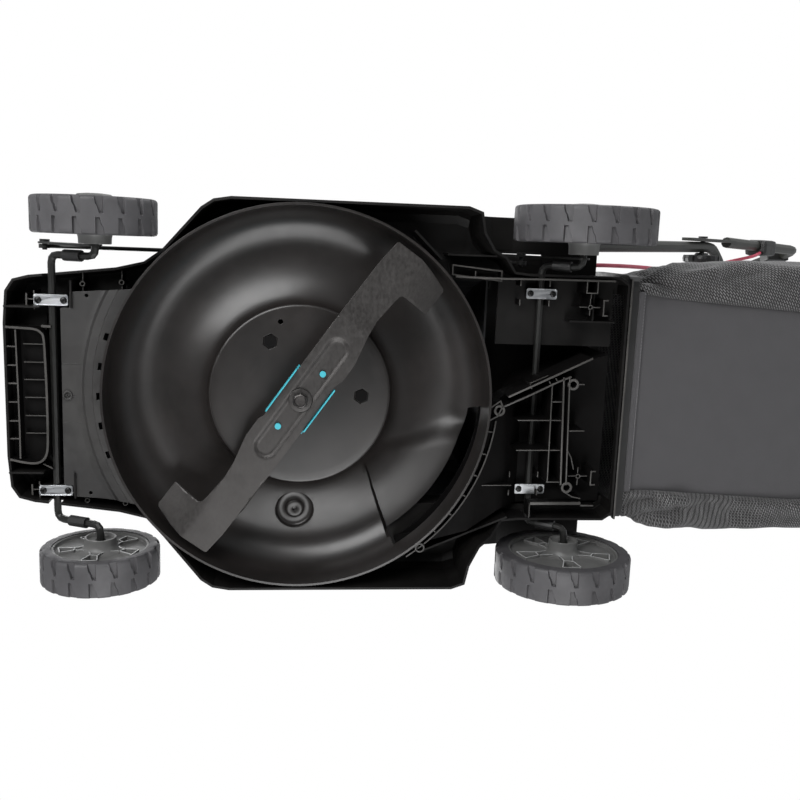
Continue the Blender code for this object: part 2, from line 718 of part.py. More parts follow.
def build_battery_lid():
    y, z = LID_AXIS
    low = HOOD_TOP_Z + 0.0015
    half = rounded_box(-0.090, 0.090, y + 0.008, 0.346, 0.016)
    lid = plate([half], low, low + 0.004, name="battery_lid", finish_name="cover_plastic")
    crown = plate([rounded_box(-0.078, 0.078, y + 0.020, 0.334, 0.014)], low + 0.003, low + 0.009)
    join(lid, crown)
    barrel = rod(0.0055, 0.130, (0, y, z), "x")
    join(lid, barrel)
    join(lid, block((0.128, 0.016, 0.005), (0, y + 0.008, z - 0.0035)))
    cut(lid, rod(0.0034, 0.3, (0, y, z), "x"))
    join(lid, block((0.050, 0.008, 0.004), (0, 0.349, low + 0.003), bevel=0.001))
    return lid


def build_battery():
    """Open-topped bay with a tray round it, the pack that slides into it and the safety key."""
    bay = block((0.106, 0.172, 0.0675), (0, 0.220, 0.20375), "battery_bay", "black_plastic")
    cut(bay, block((0.100, 0.166, 0.09), (0, 0.220, 0.218)))
    outer = rounded_box(-0.078, 0.078, 0.110, 0.330, 0.010)
    well = [(-0.0515, 0.1355), (0.0515, 0.1355), (0.0515, 0.3045), (-0.0515, 0.3045)]
    join(bay, plate([outer, well], 0.2350, 0.2375))
    rim = rounded_box(-0.0755, 0.0755, 0.1125, 0.3275, 0.008)
    join(bay, plate([outer, rim], 0.2360, HOOD_TOP_Z - 0.0034))
    cut(bay, block((0.013, 0.010, 0.02), (0.064, 0.2925, 0.2365)))
    pack = block((0.094, 0.160, 0.060), (0, 0.220, 0.2036), "battery_pack", "black_plastic", 0.006)
    for side in (1, -1):
        cut(pack, block((0.006, 0.130, 0.006), (side * 0.047, 0.222, 0.196)))
    join(pack, block((0.060, 0.014, 0.008), (0, 0.288, 0.2362), bevel=0.002))
    key = block((0.006, 0.024, 0.010), (0.064, 0.2925, 0.2430), "safety_key", "red_plastic", 0.001)
    join(key, block((0.012, 0.009, 0.014), (0.064, 0.2925, 0.2350)))
    return bay, pack, key


def build_motor():
    """Can motor: flange bolted to the chamber's seat, bearings, stator and rotor shaft."""
    centre = (CHAMBER_X, CHAMBER_Y, 0.0)
    seat = SEAT_Z + WALL + GAP
    flange = turned([(0.020, seat), (0.086, seat), (0.086, seat + 0.003), (0.062, seat + 0.004),
                     (0.062, seat + 0.008), (0.020, seat + 0.008)], centre, name="motor_flange",
                    finish_name="zinc_steel", closed=True)
    for angle in (90, 210, 330):
        x, y = polar(BOLT_CIRCLE_R, angle)
        join(flange, rod(0.0076, 0.004, (x, y, seat - 0.0008), sides=6))
        join(flange, rod(0.0075, 0.004, (x, y, seat + 0.0045), sides=6))
    can = turned([(0.058, seat + 0.0085), (0.058, 0.150), (0.050, 0.158), (0.012, 0.158), (0.012, 0.1505),
                  (0.048, 0.1505), (0.048, seat + 0.0085)], centre, name="motor_can",
                 finish_name="black_steel", closed=True)
    join(can, turned([(0.0490, 0.106), (0.0490, 0.146), (0.0335, 0.146), (0.0335, 0.106)], centre,
                     closed=True))
    for label, z in (("lower", seat + 0.0005), ("upper", 0.151)):
        inner = 0.0088 if label == "lower" else 0.0064
        outer = 0.0196 if label == "lower" else 0.0117
        turned([(inner, z), (outer, z), (outer, z + 0.007), (inner, z + 0.007)], centre,
               name="bearing_" + label, finish_name="zinc_steel", closed=True)
    shaft = turned([(0.0, 0.0525), (0.0082, 0.0525), (0.0082, 0.108), (0.0325, 0.108), (0.0325, 0.144),
                    (0.006, 0.144), (0.006, 0.160), (0.0, 0.160)], centre, name="rotor_shaft",
                   finish_name="zinc_steel")
    return flange, can, shaft


def build_blade():
    """Twin-armed blade: a pressed channel in the middle and a square wing curled up at each tip."""
    half = [
        (0.000, -0.0243, 0.0243, 0.0, 0.0),
        (0.0415, -0.0243, 0.0243, 0.0, 0.0),
        (0.048, -0.0243, 0.0270, 0.0, 0.0),
        (0.084, -0.0238, 0.0240, 0.0, 0.0),
        (0.110, -0.0232, 0.0200, 0.0, 0.0),
        (0.135, -0.0225, 0.0185, 0.0, 0.0),
        (0.1640, -0.0215, 0.0205, 0.0, 0.0),
        (0.1725, -0.0210, 0.0620, 0.016, 0.0),
        (0.2045, -0.0200, 0.0620, 0.016, 0.006),
    ]
    bm = bmesh.new()
    for turn in (1, -1):
        rows = []
        for u, low, high, lift, tip in half:
            wing = high > 0.05
            reach = 0.0157 if tip else 0.0
            columns = [(low, 0.0, reach), (-0.0150, 0.0, reach), (0.0150, 0.0, reach)]
            columns.append((0.0500 if wing else high, lift * 0.45, tip))
            columns.append((high, lift, 0.0))
            rows.append([bm.verts.new((turn * (u + reach), turn * v, z)) for v, z, reach in columns])
        for a, b in zip(rows, rows[1:]):
            for i in range(4):
                corners = [a[i], b[i], b[i + 1], a[i + 1]]
                if (a[3].co - a[4].co).length < 1e-6 and i == 3:
                    corners = corners[:3]
                bm.faces.new(corners)
    for vert in bm.verts:
        vert.co.z += BLADE_T
    bmesh.ops.remove_doubles(bm, verts=bm.verts, dist=0.00001)
    bmesh.ops.recalc_face_normals(bm, faces=bm.faces)
    if bm.faces[:][0].normal.z < 0:
        bmesh.ops.reverse_faces(bm, faces=bm.faces)
    surface = shell(bm, BLADE_T, "blade_surface")
    place = (CHAMBER_X, CHAMBER_Y, BLADE_Z)
    blade = add_object("blade", surface.data, "blade_steel", place, (0, 0, BLADE_ANGLE))
    bpy.data.objects.remove(surface)
    cut(blade, rod(0.0062, 0.03, place, sides=12))
    for turn in (1, -1):
        cut(blade, rod(0.0042, 0.03, along_blade(turn * 0.041, turn * 0.003, BLADE_Z), sides=10))
    channel = plate([slot((-0.074, 0.001), (0.074, 0.001), 0.0125)], -0.001, 0.0011)
    channel.location = place
    channel.rotation_euler = (0, 0, BLADE_ANGLE)
    return cut(blade, channel)


def along_blade(u, v, z):
    """Point given along and across the blade."""
    cos, sin = math.cos(BLADE_ANGLE), math.sin(BLADE_ANGLE)
    return (CHAMBER_X + u * cos - v * sin, CHAMBER_Y + u * sin + v * cos, z)


def build_blade_carrier():
    """Moulded carrier with two lips down the blade's edges and two pegs through it."""
    turn = (0, 0, BLADE_ANGLE)
    top = BLADE_Z + BLADE_T + GAP
    carrier = block((0.066, 0.0515, 0.008), along_blade(0, 0, top + 0.004), "blade_carrier", "teal_plastic",
                    rotation=turn)
    for side in (1, -1):
        lip_z = top + 0.002 - 0.0055
        join(carrier, block((0.062, 0.0014, 0.011), along_blade(side * 0.003, side * 0.0255, lip_z),
                            rotation=turn))
        join(carrier, rod(0.0038, 0.008, along_blade(side * 0.041, side * 0.003, top - 0.0015), sides=10))
        join(carrier, block((0.020, 0.014, 0.006), along_blade(side * 0.037, side * 0.003, top + 0.0035),
                            rotation=turn))
    join(carrier, rod(0.016, 0.014, (CHAMBER_X, CHAMBER_Y, top + 0.012), sides=16))
    cut(carrier, rod(0.0088, 0.06, (CHAMBER_X, CHAMBER_Y, top + 0.02), sides=16))
    bolt = rod(0.0098, 0.007, (CHAMBER_X, CHAMBER_Y, BLADE_Z - 0.0065), sides=6, name="blade_bolt",
               finish_name="blade_steel")
    join(bolt, rod(0.0140, 0.0028, (CHAMBER_X, CHAMBER_Y, BLADE_Z - 0.0018), sides=20))
    join(bolt, rod(0.0058, 0.0075, (CHAMBER_X, CHAMBER_Y, BLADE_Z + 0.0005), sides=12))
    return carrier, bolt


def build_wheel(place, side, centre, radius, inner_x, width, boss_out):
    """Tyre with two staggered rows of blocks and a five-spoked hub."""
    tyre_bore = radius * 0.735
    tyre = build_tyre("tyre_" + place, radius, tyre_bore, inner_x, width, side, centre)
    hub_r = tyre_bore - 0.0003
    web_in, web_out = 0.013, 0.017
    profile = [
        (0.0056, -boss_out), (HUB_BOSS_R, -boss_out), (HUB_BOSS_R, web_in), (hub_r - 0.005, web_in),
        (hub_r - 0.004, 0.001), (hub_r, 0.001), (hub_r, width), (0.016, width + 0.004), (0.0, width + 0.005),
        (0.0, width - 0.001), (hub_r - 0.004, width - 0.004), (hub_r - 0.004, web_out),
        (0.013, web_out), (0.013, width - 0.012), (0.0056, width - 0.012),
    ]
    hub = turned(profile, (side * inner_x, *centre), "x", "hub_" + place, "hub_plastic", steps=TREAD_BLOCKS,
                 closed=True, mirrored=side < 0, phase=math.pi / TREAD_BLOCKS)
    for i in range(5):
        angle = math.radians(90 + 72 * i)
        reach = (HUB_BOSS_R + hub_r - 0.003) / 2
        y = centre[0] + reach * math.cos(angle)
        z = centre[1] + reach * math.sin(angle)
        size = (0.012, hub_r - HUB_BOSS_R - 0.011, radius * 0.26)
        cut(hub, block(size, (side * (inner_x + 0.0145), y, z), rotation=(angle, 0, 0)))
    return tyre, hub


def build_tyre(name, radius, bore, inner_x, width, side, centre):
    """Turned ring with two staggered rows of grooves and a flat where it meets the ground."""
    pitch = 2 * math.pi / TREAD_BLOCKS
    solid = 0.80
    root = radius - TREAD_DEPTH
    crown = radius / math.cos(pitch / 2)
    half = width / 2
    profile = [(bore, 0.0), (crown - 0.006, 0.0), (crown, 0.003), (crown, width - 0.003),
               (crown - 0.006, width), (bore, width)]
    tyre = turned(profile, (side * inner_x, *centre), "x", name, "tread_rubber", steps=TREAD_BLOCKS,
                  closed=True, mirrored=side < 0, phase=pitch / 2)
    groove_w = pitch * (1 - solid) * radius
    for i in range(TREAD_BLOCKS):
        for row, shift in ((0, 0.5), (1, 0.0)):
            angle = -math.pi / 2 + (i + shift) * pitch
            x = side * (inner_x + half * (0.5 + row))
            y = centre[0] + (root + 0.005) * math.cos(angle)
            z = centre[1] + (root + 0.005) * math.sin(angle)
            cut(tyre, block((half + 0.0001, 0.010, groove_w), (x, y, z), rotation=(angle, 0, 0)))
    return tyre


def bent(points, radius, steps=3):
    """Rounds the inner corners of a path of straight runs."""
    path = [Vector(points[0])]
    for before, corner, after in zip(points, points[1:], points[2:]):
        corner = Vector(corner)
        to_before = (Vector(before) - corner).normalized()
        to_after = (Vector(after) - corner).normalized()
        reach = min(radius, (Vector(before) - corner).length * 0.49, (Vector(after) - corner).length * 0.49)
        start, end = corner + to_before * reach, corner + to_after * reach
        for i in range(steps + 1):
            t = i / steps
            path.append(start * (1 - t) ** 2 + corner * 2 * t * (1 - t) + end * t ** 2)
    path.append(Vector(points[-1]))
    return [tuple(p) for p in path]


def mirrored_path(half):
    return half + [(-x, y, z) for x, y, z in half[::-1]]


def pin_centre(rod_centre, to_pin):
    return (rod_centre[0] + to_pin[0], rod_centre[1] + to_pin[1])


def build_axle(name, rod_centre, wheel_centre, arm_x, stub_end, plate_x, to_pin):
    """Cranked rod: stub, crank arm, long rod across the deck, and the same again."""
    y, z = rod_centre
    wy, wz = wheel_centre
    half = [(stub_end, wy, wz), (arm_x, wy, wz), (arm_x, y, z)]
    axle = wire(bent(mirrored_path(half), 0.010), ROD_R, name, "black_steel")
    for side in (1, -1):
        join(axle, rod(0.009, 0.0022, (side * (stub_end - 0.0015), wy, wz), "x", sides=12))
    pin = pin_centre(rod_centre, to_pin)
    join(axle, plate([slot((wy, wz), pin, 0.008)], plate_x, plate_x + 0.0025, "yz"))
    start, end = LINK_X - 0.0045, plate_x + 0.002
    join(axle, rod(PIN_R, end - start, ((start + end) / 2, *pin), "x", sides=12))
    join(axle, rod(0.0062, 0.0030, (plate_x + 0.0040, *pin), "x", sides=12))
    return axle


def build_running_gear():
    front_wheel = (0.0, FRONT_WHEEL_R)
    rear_wheel = (WHEELBASE, REAR_WHEEL_R)
    front_end = FRONT_TYRE_X + FRONT_TYRE_W - 0.0075
    rear_end = REAR_TYRE_X + REAR_TYRE_W - 0.0075
    build_axle("front_axle", FRONT_ROD, front_wheel, FRONT_ARM_X, front_end, 0.1725, FRONT_TO_PIN)
    rear = build_axle("rear_axle", REAR_ROD, rear_wheel, REAR_ARM_X, rear_end, 0.1775, REAR_TO_PIN)
    y, z = REAR_ROD
    grip = (y + LEVER_LENGTH * math.cos(LEVER_ANGLE), z + LEVER_LENGTH * math.sin(LEVER_ANGLE))
    foot = pin_centre(REAR_ROD, REAR_TO_PIN)
    join(rear, plate([slot(foot, grip, 0.006)], 0.1775, 0.1805, "yz"))
    angle = math.atan2(grip[1] - foot[1], grip[0] - foot[0])

    def past_grip(distance):
        return (0.179, grip[0] + distance * math.cos(angle), grip[1] + distance * math.sin(angle))

    knob = block((0.018, 0.050, 0.020), past_grip(0.012), "height_knob", "black_plastic", 0.005,
                 rotation=(angle, 0, 0))
    cut(knob, block((0.0038, 0.070, 0.0132), past_grip(-0.026), rotation=(angle, 0, 0)))
    for place, side, centre, radius, inner_x, width, boss in (
            ("front_left", 1, front_wheel, FRONT_WHEEL_R, FRONT_TYRE_X, FRONT_TYRE_W, 0.0106),
            ("front_right", -1, front_wheel, FRONT_WHEEL_R, FRONT_TYRE_X, FRONT_TYRE_W, 0.0106),
            ("rear_left", 1, rear_wheel, REAR_WHEEL_R, REAR_TYRE_X, REAR_TYRE_W, 0.0138),
            ("rear_right", -1, rear_wheel, REAR_WHEEL_R, REAR_TYRE_X, REAR_TYRE_W, 0.0138)):
        build_wheel(place, side, centre, radius, inner_x, width, boss)
        build_crank_sleeve(place, side, centre, FRONT_ROD if "front" in place else REAR_ROD,
                           FRONT_ARM_X if "front" in place else REAR_ARM_X)


def build_crank_sleeve(place, side, wheel_centre, rod_centre, arm_x):
    """Plastic sleeve over the straight part of a crank arm."""
    y = (wheel_centre[0] + rod_centre[0]) / 2
    z = (wheel_centre[1] + rod_centre[1]) / 2
    angle = math.atan2(wheel_centre[1] - rod_centre[1], wheel_centre[0] - rod_centre[0])
    lie = (math.pi / 2 + angle - math.pi, 0, 0)
    sleeve = rod(0.0068, 0.024, (side * arm_x, y, z), sides=12, rotation=lie, name="crank_sleeve_" + place,
                 finish_name="hub_plastic")
    cut(sleeve, rod(ROD_R + 0.0005, 0.03, (side * arm_x, y, z), sides=12, rotation=lie))


def build_link_rod():
    """Thin rod that ties the two cranks together, with an eye at each end."""
    pins = [pin_centre(FRONT_ROD, FRONT_TO_PIN), pin_centre(REAR_ROD, REAR_TO_PIN)]
    link = wire([(LINK_X, *pins[0]), (LINK_X, *pins[1])], LINK_R, "link_rod", "black_steel")
    for pin, drop, play in zip(pins, (0.0, 0.0019), (0.0007, 0.0014)):
        join(link, plate([slot(pin, (pin[0], pin[1] - drop - 0.0001), 0.0072)], LINK_X - 0.0025, LINK_X + 0.0025,
                         "yz"))
        cut(link, plate([slot(pin, (pin[0], pin[1] - drop - 0.0001), PIN_R + play)], LINK_X - 0.01,
                        LINK_X + 0.01, "yz"))
    return link


def build_height_quadrant():
    """Notched sector on the deck's side that the height lever runs along."""
    y, z = REAR_ROD
    start, end = math.radians(88), math.radians(148)
    sector = plate([band((y, z), 0.104, 0.128, start, end, 12)], 0.1505, 0.1625, "yz", "height_quadrant",
                   "zinc_steel")
    for i in range(7):
        angle = math.radians(94 + 8 * i)
        place = (0.1565, y + 0.128 * math.cos(angle), z + 0.128 * math.sin(angle))
        cut(sector, block((0.02, 0.010, 0.006), place, rotation=(angle, 0, 0)))
    return sector


def slope(distance, x, lift=0.0):
    """Point on the handle's line, measured up the slope from the clamp."""
    return (x, CLAMP_Y + distance * math.cos(LEG_SLOPE) - lift * math.sin(LEG_SLOPE),
            CLAMP_Z + distance * math.sin(LEG_SLOPE) + lift * math.cos(LEG_SLOPE))


def build_handle():
    for side in (1, -1):
        bracket_centre = (side * 0.1785, 0.602, 0.2235)
        bracket = block((0.056, 0.044, 0.036), bracket_centre, "handle_bracket_" + side_name(side),
                        "deck_plastic", 0.004)
        direction = Vector(slope(0, LOWER_LEG_X)) - Vector(SOCKET)
        start = Vector(SOCKET) - direction.normalized() * 0.004
        end = Vector(SOCKET) + direction.normalized() * 0.08
        cut(bracket, wire([(side * start.x, start.y, start.z), (side * end.x, end.y, end.z)],
                          LOWER_TUBE_R + 0.0004, resolution=3))
    half = [SOCKET, slope(0, LOWER_LEG_X), slope(0.040, LOWER_LEG_X), slope(0.087, 0.168)]
    lower = wire(bent(mirrored_path(half), 0.022), LOWER_TUBE_R, "lower_handle", "tube_steel", 3)
    start = slope(0.100, LEG_TOP_X)
    grip = [GRIP_END, (0.118, GRIP_END[1] - 0.002, GRIP_Z)]
    path = bent(mirrored_path([start, CORNER] + grip), 0.030)
    upper = wire(path, TUBE_R, "upper_handle", "tube_steel", 3)
    grip_path = bent(mirrored_path([point_between(CORNER, GRIP_END, 0.55)] + grip), 0.030)
    foam = wire(grip_path, TUBE_R + 0.004, "foam_grip", "grip_foam", 2)
    cut(foam, wire(stretched(grip_path, 0.01), TUBE_R + 0.0008, resolution=3))
    for side in (1, -1):
        blade_x = side * 0.2140
        blade = block((0.005, 0.180, 0.021), slope(0.030, blade_x), bevel=0.0008,
                      rotation=(LEG_SLOPE, 0, 0))
        join(upper, blade)
        cut(upper, rod(0.0044, 0.03, slope(0, blade_x), "x", sides=12))
        cut(lower, rod(0.0044, 0.04, slope(0, side * LOWER_LEG_X), "x", sides=12))
        knob = turned(knob_profile(), slope(0, side * KNOB_X), "x", "clamp_knob_" + side_name(side),
                      "black_plastic", steps=16, mirrored=side < 0)
        for i in range(8):
            angle = math.radians(45 * i)
            offset = Vector((0, 0.0335 * math.cos(angle), 0.0335 * math.sin(angle)))
            centre = Vector(slope(0, side * KNOB_X)) + offset
            cut(knob, rod(0.0058, 0.03, centre, "x", sides=6))
        join(knob, rod(0.0040, 0.0325, slope(0, side * 0.2035), "x", sides=12))
        join(knob, rod(0.0078, 0.003, slope(0, side * 0.2184), "x", sides=12))
    return lower, upper


def knob_profile():
    return [(0.0, -0.0075), (0.024, -0.0075), (0.030, -0.0055), (0.031, 0.0), (0.030, 0.0055), (0.012, 0.0065),
            (0.0095, 0.0100), (0.0, 0.0100)]


def point_between(a, b, share):
    return tuple(p + (q - p) * share for p, q in zip(a, b))


def stretched(path, extra):
    """The same path with both ends carried on a little further."""
    first = Vector(path[0]) + (Vector(path[0]) - Vector(path[1])).normalized() * extra
    last = Vector(path[-1]) + (Vector(path[-1]) - Vector(path[-2])).normalized() * extra
    return [tuple(first)] + path[1:-1] + [tuple(last)]


SWITCH_AT = 0.272
LEG_TOP_X = 0.2120


def leg_x(distance):
    """Sideways place of the upper handle's leg at a distance up the slope."""
    whole = math.hypot(CORNER[1] - CLAMP_Y, CORNER[2] - CLAMP_Z)
    return LEG_TOP_X + (CORNER[0] - LEG_TOP_X) * (distance - 0.1) / (whole - 0.1)


def build_controls():
    """Switch housing on the left leg, the bail and its lock-off button."""
    x = 0.2066
    housing = block((0.030, 0.062, 0.040), slope(SWITCH_AT, x - 0.001, 0.002), "switch_housing", "black_plastic",
                    0.008, rotation=(LEG_SLOPE, 0, 0))
    cut(housing, wire([slope(d, leg_x(d)) for d in (SWITCH_AT - 0.06, SWITCH_AT + 0.06)], TUBE_R + 0.0006,
                      resolution=3))
    cut(housing, rod(0.0056, 0.02, slope(SWITCH_AT + 0.008, x, 0.0200), rotation=(LEG_SLOPE, 0, 0), sides=12))
    cut(housing, rod(0.0034, 0.030, slope(SWITCH_AT - 0.034, 0.1960, -0.010),
                     rotation=(LEG_SLOPE - math.pi / 2, 0, 0), sides=10))
    button = rod(0.0052, 0.010, slope(SWITCH_AT + 0.008, x, 0.0206), rotation=(LEG_SLOPE, 0, 0), sides=12,
                 name="lock_off_button", finish_name="red_plastic")
    bail_half = [(BAIL_X, *BAIL_AXIS), (0.150, BAIL_AXIS[0] - 0.022, BAIL_AXIS[1] + 0.085),
                 (0.112, GRIP_END[1] - 0.062, GRIP_Z + 0.004)]
    bail = wire(bent(mirrored_path(bail_half), 0.02), 0.004, "bail_lever", "black_steel")
    for side in (1, -1):
        join(bail, rod(0.0085, 0.006, (side * BAIL_X, *BAIL_AXIS), "x", sides=14))
        cut(bail, rod(0.0042, 0.02, (side * BAIL_X, *BAIL_AXIS), "x", sides=12))
        build_bail_bracket(side)
    return housing, button, bail


BAIL_X = 0.1655
BAIL_AXIS = (1.226, 0.860)


def lie_along(direction):
    """Rotation that points a shape's z along a direction and keeps its x level."""
    z = Vector(direction).normalized()
    x = (Vector((1, 0, 0)) - z * z.x).normalized()
    return Matrix((x, z.cross(x), z)).transposed().to_euler()


def build_bail_bracket(side):
    """Clamp on the handle's upright that carries one end of the bail."""
    path = [(side * x, y, z) for x, y, z in (CORNER, GRIP_END)]
    middle = point_between(path[0], path[1], 0.30)
    turn = lie_along(Vector(path[1]) - Vector(path[0]))
    bracket = block((0.0235, 0.050, 0.030), (middle[0], middle[1] - 0.012, middle[2]),
                    "bail_bracket_" + side_name(side), "black_plastic", 0.003, rotation=turn)
    join(bracket, rod(0.0036, 0.022, (side * (BAIL_X + 0.007), *BAIL_AXIS), "x", sides=12))
    cut(bracket, wire(stretched(path, 0.05), TUBE_R + 0.0007, resolution=3))
    return bracket


def build_cables():
    """Lead from the switch to the fold axis, then down the leg into the deck's gland."""
    upper = smooth_route([slope(SWITCH_AT - 0.0335, 0.1960, -0.010), slope(SWITCH_AT - 0.060, 0.189, -0.006),
                          slope(0.160, 0.178, 0.016), slope(0.105, 0.1695, 0.024), slope(0.050, 0.1675, 0.020),
                          slope(0.014, 0.1670, 0.009), (0.1655, CLAMP_Y, CLAMP_Z), (0.1606, CLAMP_Y, CLAMP_Z)],
                         20)
    wire(upper, 0.0030, "cable_upper", "cable_sheath", 1)
    lower = smooth_route([(0.1578, CLAMP_Y, CLAMP_Z), (0.1535, CLAMP_Y, CLAMP_Z), (0.1500, 0.915, 0.492),
                          (0.154, 0.880, 0.458), (0.164, 0.800, 0.390), (0.168, 0.700, 0.308),
                          (0.166, 0.645, 0.270), (0.150, 0.604, 0.258), (0.127, 0.600, 0.264),
                          (0.118, 0.600, 0.255),
                          (0.118, 0.600, 0.236)], 28)
    wire(lower, 0.0030, "cable_lower", "cable_sheath", 1)


def smooth_route(points, count):
    """Evenly read points of a Catmull-Rom curve through a route's own points."""
    knots = [Vector(p) for p in points]
    ends = [knots[0] * 2 - knots[1]] + knots + [knots[-1] * 2 - knots[-2]]
    route = []
    spans = len(knots) - 1
    for i in range(count + 1):
        place = i / count * spans
        k = min(int(place), spans - 1)
        t = place - k
        a, b, c, d = ends[k:k + 4]
        route.append(tuple(0.5 * (2 * b + (c - a) * t + (2 * a - 5 * b + 4 * c - d) * t ** 2
                                  + (3 * b - a - 3 * c + d) * t ** 3)))
    return route


# Bag section by distance behind the mouth: half width, floor height, top height
BAG_STATIONS = [
    (0.012, 0.158, 0.104, 0.256),
    (0.070, 0.170, 0.106, 0.259),
    (0.100, 0.174, 0.107, 0.262),
    (0.165, 0.178, 0.110, 0.338),
    (0.250, 0.178, 0.114, 0.366),
    (0.350, 0.176, 0.120, 0.372),
    (0.425, 0.168, 0.126, 0.352),
    (0.453, 0.150, 0.140, 0.310),
]
BASE_HALF_W = 0.127


def bag_section(half_width, floor_z, top_z, y):
    """Open section from the edge of the base panel round over the top and back again."""
    height = top_z - floor_z
    base = base_half_width(half_width)
    half = [
        (base + 0.0005, floor_z),
        (base + (half_width - base) * 0.60, floor_z + 0.002),
        (half_width * 0.985, floor_z + height * 0.10),
        (half_width, floor_z + height * 0.28),
        (half_width * 0.965, floor_z + height * 0.62),
        (half_width * 0.90, floor_z + height * 0.86),
        (half_width * 0.74, floor_z + height * 0.975),
        (half_width * 0.35, top_z),
    ]
    points = [(x, y, z) for x, z in half]
    return points + [(-x, py, z) for x, py, z in points[::-1]]


def build_bag():
    levels = [bag_section(w, floor, top, BAG_FRONT_Y + d) for d, w, floor, top in BAG_STATIONS]
    mesh_shell = shell(loft(levels, closed_loop=False, cap_last=True), 0.0022, "bag_mesh", "bag_mesh_cloth")
    edges = []
    for d, w, floor, _ in BAG_STATIONS:
        x = base_half_width(w)
        y = BAG_FRONT_Y + min(d, BAG_STATIONS[-1][0] - 0.003)
        edges.append([(x, y, floor), (-x, y, floor)])
    shell(loft(edges, closed_loop=False), 0.0022, "bag_base", "bag_fabric")
    build_bag_frame()
    return smooth(mesh_shell, 50)


def base_half_width(half_width):
    return min(BASE_HALF_W, half_width - 0.02)


def build_bag_frame():
    """Plastic mouth frame with two hooks and a grab handle moulded on its top."""
    outer = rounded_box(-0.160, 0.160, 0.100, 0.2605, 0.014)
    inner = rounded_box(-0.148, 0.148, 0.112, 0.2485, 0.008)
    frame = plate([outer, inner], BAG_FRONT_Y, BAG_FRONT_Y + 0.0115, "xz", "bag_frame", "black_plastic")
    return frame


def build_bag_handle():
    """Grab loop on the bag's top, stitched to it through two feet."""
    y, z = BAG_FRONT_Y + 0.285, 0.3735
    half = [(0.060, y, z + 0.0035), (0.052, y, z + 0.032)]
    handle = wire(bent(mirrored_path(half), 0.012), 0.0075, "bag_handle", "black_plastic")
    for side in (1, -1):
        join(handle, block((0.030, 0.034, 0.004), (side * 0.060, y, z + 0.0025), bevel=0.001))
    return handle


def axis_empty(name, location):
    empty = bpy.data.objects.new(name, None)
    empty.empty_display_size = 0.05
    empty.location = location
    collection.objects.link(empty)
    return empty


def hang(names, empty, under=None):
    """Parents pieces to the empty on their joint's axis, keeping them where they are."""
    base = empty.location.copy()
    for name in names:
        piece = parts[name]
        piece.parent = empty
        piece.location = piece.location - base
    if under:
        empty.parent = under
        empty.location = base - under.location
    return empty


def assemble():
    """Puts each moving group on its joint axis and everything under one empty."""
    front = hang(["front_axle", "crank_sleeve_front_left", "crank_sleeve_front_right"],
                 axis_empty("front_axle_axis", (0, *FRONT_ROD)))
    rear = hang(["rear_axle", "crank_sleeve_rear_left", "crank_sleeve_rear_right", "height_knob"],
                axis_empty("rear_axle_axis", (0, *REAR_ROD)))
    link_pin = (LINK_X, *pin_centre(FRONT_ROD, FRONT_TO_PIN))
    hang(["link_rod"], axis_empty("link_axis", link_pin), front)
    groups = [front, rear]
    for place in ("front_left", "front_right", "rear_left", "rear_right"):
        side = 1 if "left" in place else -1
        is_front = "front" in place
        centre = (side * (FRONT_TYRE_X if is_front else REAR_TYRE_X), 0.0 if is_front else WHEELBASE,
                  FRONT_WHEEL_R if is_front else REAR_WHEEL_R)
        hang(["tyre_" + place, "hub_" + place], axis_empty("wheel_axis_" + place, centre),
             front if is_front else rear)
    groups.append(hang(["rotor_shaft", "blade_carrier", "blade", "blade_bolt"],
                       axis_empty("blade_axis", (CHAMBER_X, CHAMBER_Y, BLADE_Z))))
    groups.append(hang(["battery_lid"], axis_empty("lid_axis", (0, *LID_AXIS))))
    groups.append(hang(["rear_flap"], axis_empty("flap_axis", (0, *FLAP_AXIS))))
    groups.append(hang(["bag_frame", "bag_base", "bag_mesh", "bag_handle"],
                       axis_empty("bag_origin", (0, BAG_FRONT_Y, 0.18))))
    upper = hang(["upper_handle", "foam_grip", "switch_housing", "bail_bracket_left", "bail_bracket_right",
                  "cable_upper"], axis_empty("fold_axis", (0, CLAMP_Y, CLAMP_Z)))
    hang(["bail_lever"], axis_empty("bail_axis", (0, *BAIL_AXIS)), upper)
    hang(["lock_off_button"], axis_empty("button_axis", slope(SWITCH_AT + 0.008, 0.2066, 0.0206)), upper)
    groups.append(upper)
    for side in (1, -1):
        groups.append(hang(["clamp_knob_" + side_name(side)],
                           axis_empty("knob_axis_" + side_name(side), slope(0, side * KNOB_X))))
    mower = axis_empty("mower_frame", (0, Y_SHIFT, 0))
    for empty in groups:
        empty.parent = mower
    for piece in parts.values():
        if piece.parent is None:
            piece.parent = mower


def merge_flat_faces():
    """Removes the edges that Boolean steps leave inside flat faces."""
    for piece in parts.values():
        bm = bmesh.new()
        bm.from_mesh(piece.data)
        bmesh.ops.remove_doubles(bm, verts=bm.verts, dist=0.000005)
        bmesh.ops.dissolve_limit(bm, angle_limit=math.radians(0.3), verts=bm.verts, edges=bm.edges)
        bm.to_mesh(piece.data)
        bm.free()


def build():
    clear_scene()
    for name, (colour, roughness, metallic) in FINISHES.items():
        finish[name] = make_material(name, colour, roughness, metallic)
    build_deck_shell()
    build_cutting_chamber()
    build_front_cover()
    build_front_grip()
    build_discharge_chute()
    build_axle_clamps()
    build_rear_housing()
    build_rear_flap()
    build_motor_cover()
    build_battery_lid()
    build_battery()
    build_motor()
    build_blade()
    build_blade_carrier()
    build_running_gear()
    build_link_rod()
    build_height_quadrant()
    build_handle()
    build_controls()
    build_cables()
    build_bag()
    build_bag_handle()
    merge_flat_faces()
    assemble()


build()
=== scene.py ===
# %% [markdown]
# # A cordless lawn mower, seen from below
#
# The mower is already built as a set of plain solids in true size. Here it gets its looks: finishes
# worked out from the real materials, and finer pieces laid over the plain solids where the eye
# would miss them. Every length is in metres and every point is in the frame of the solids.

# %% Load the fixed frame
import math

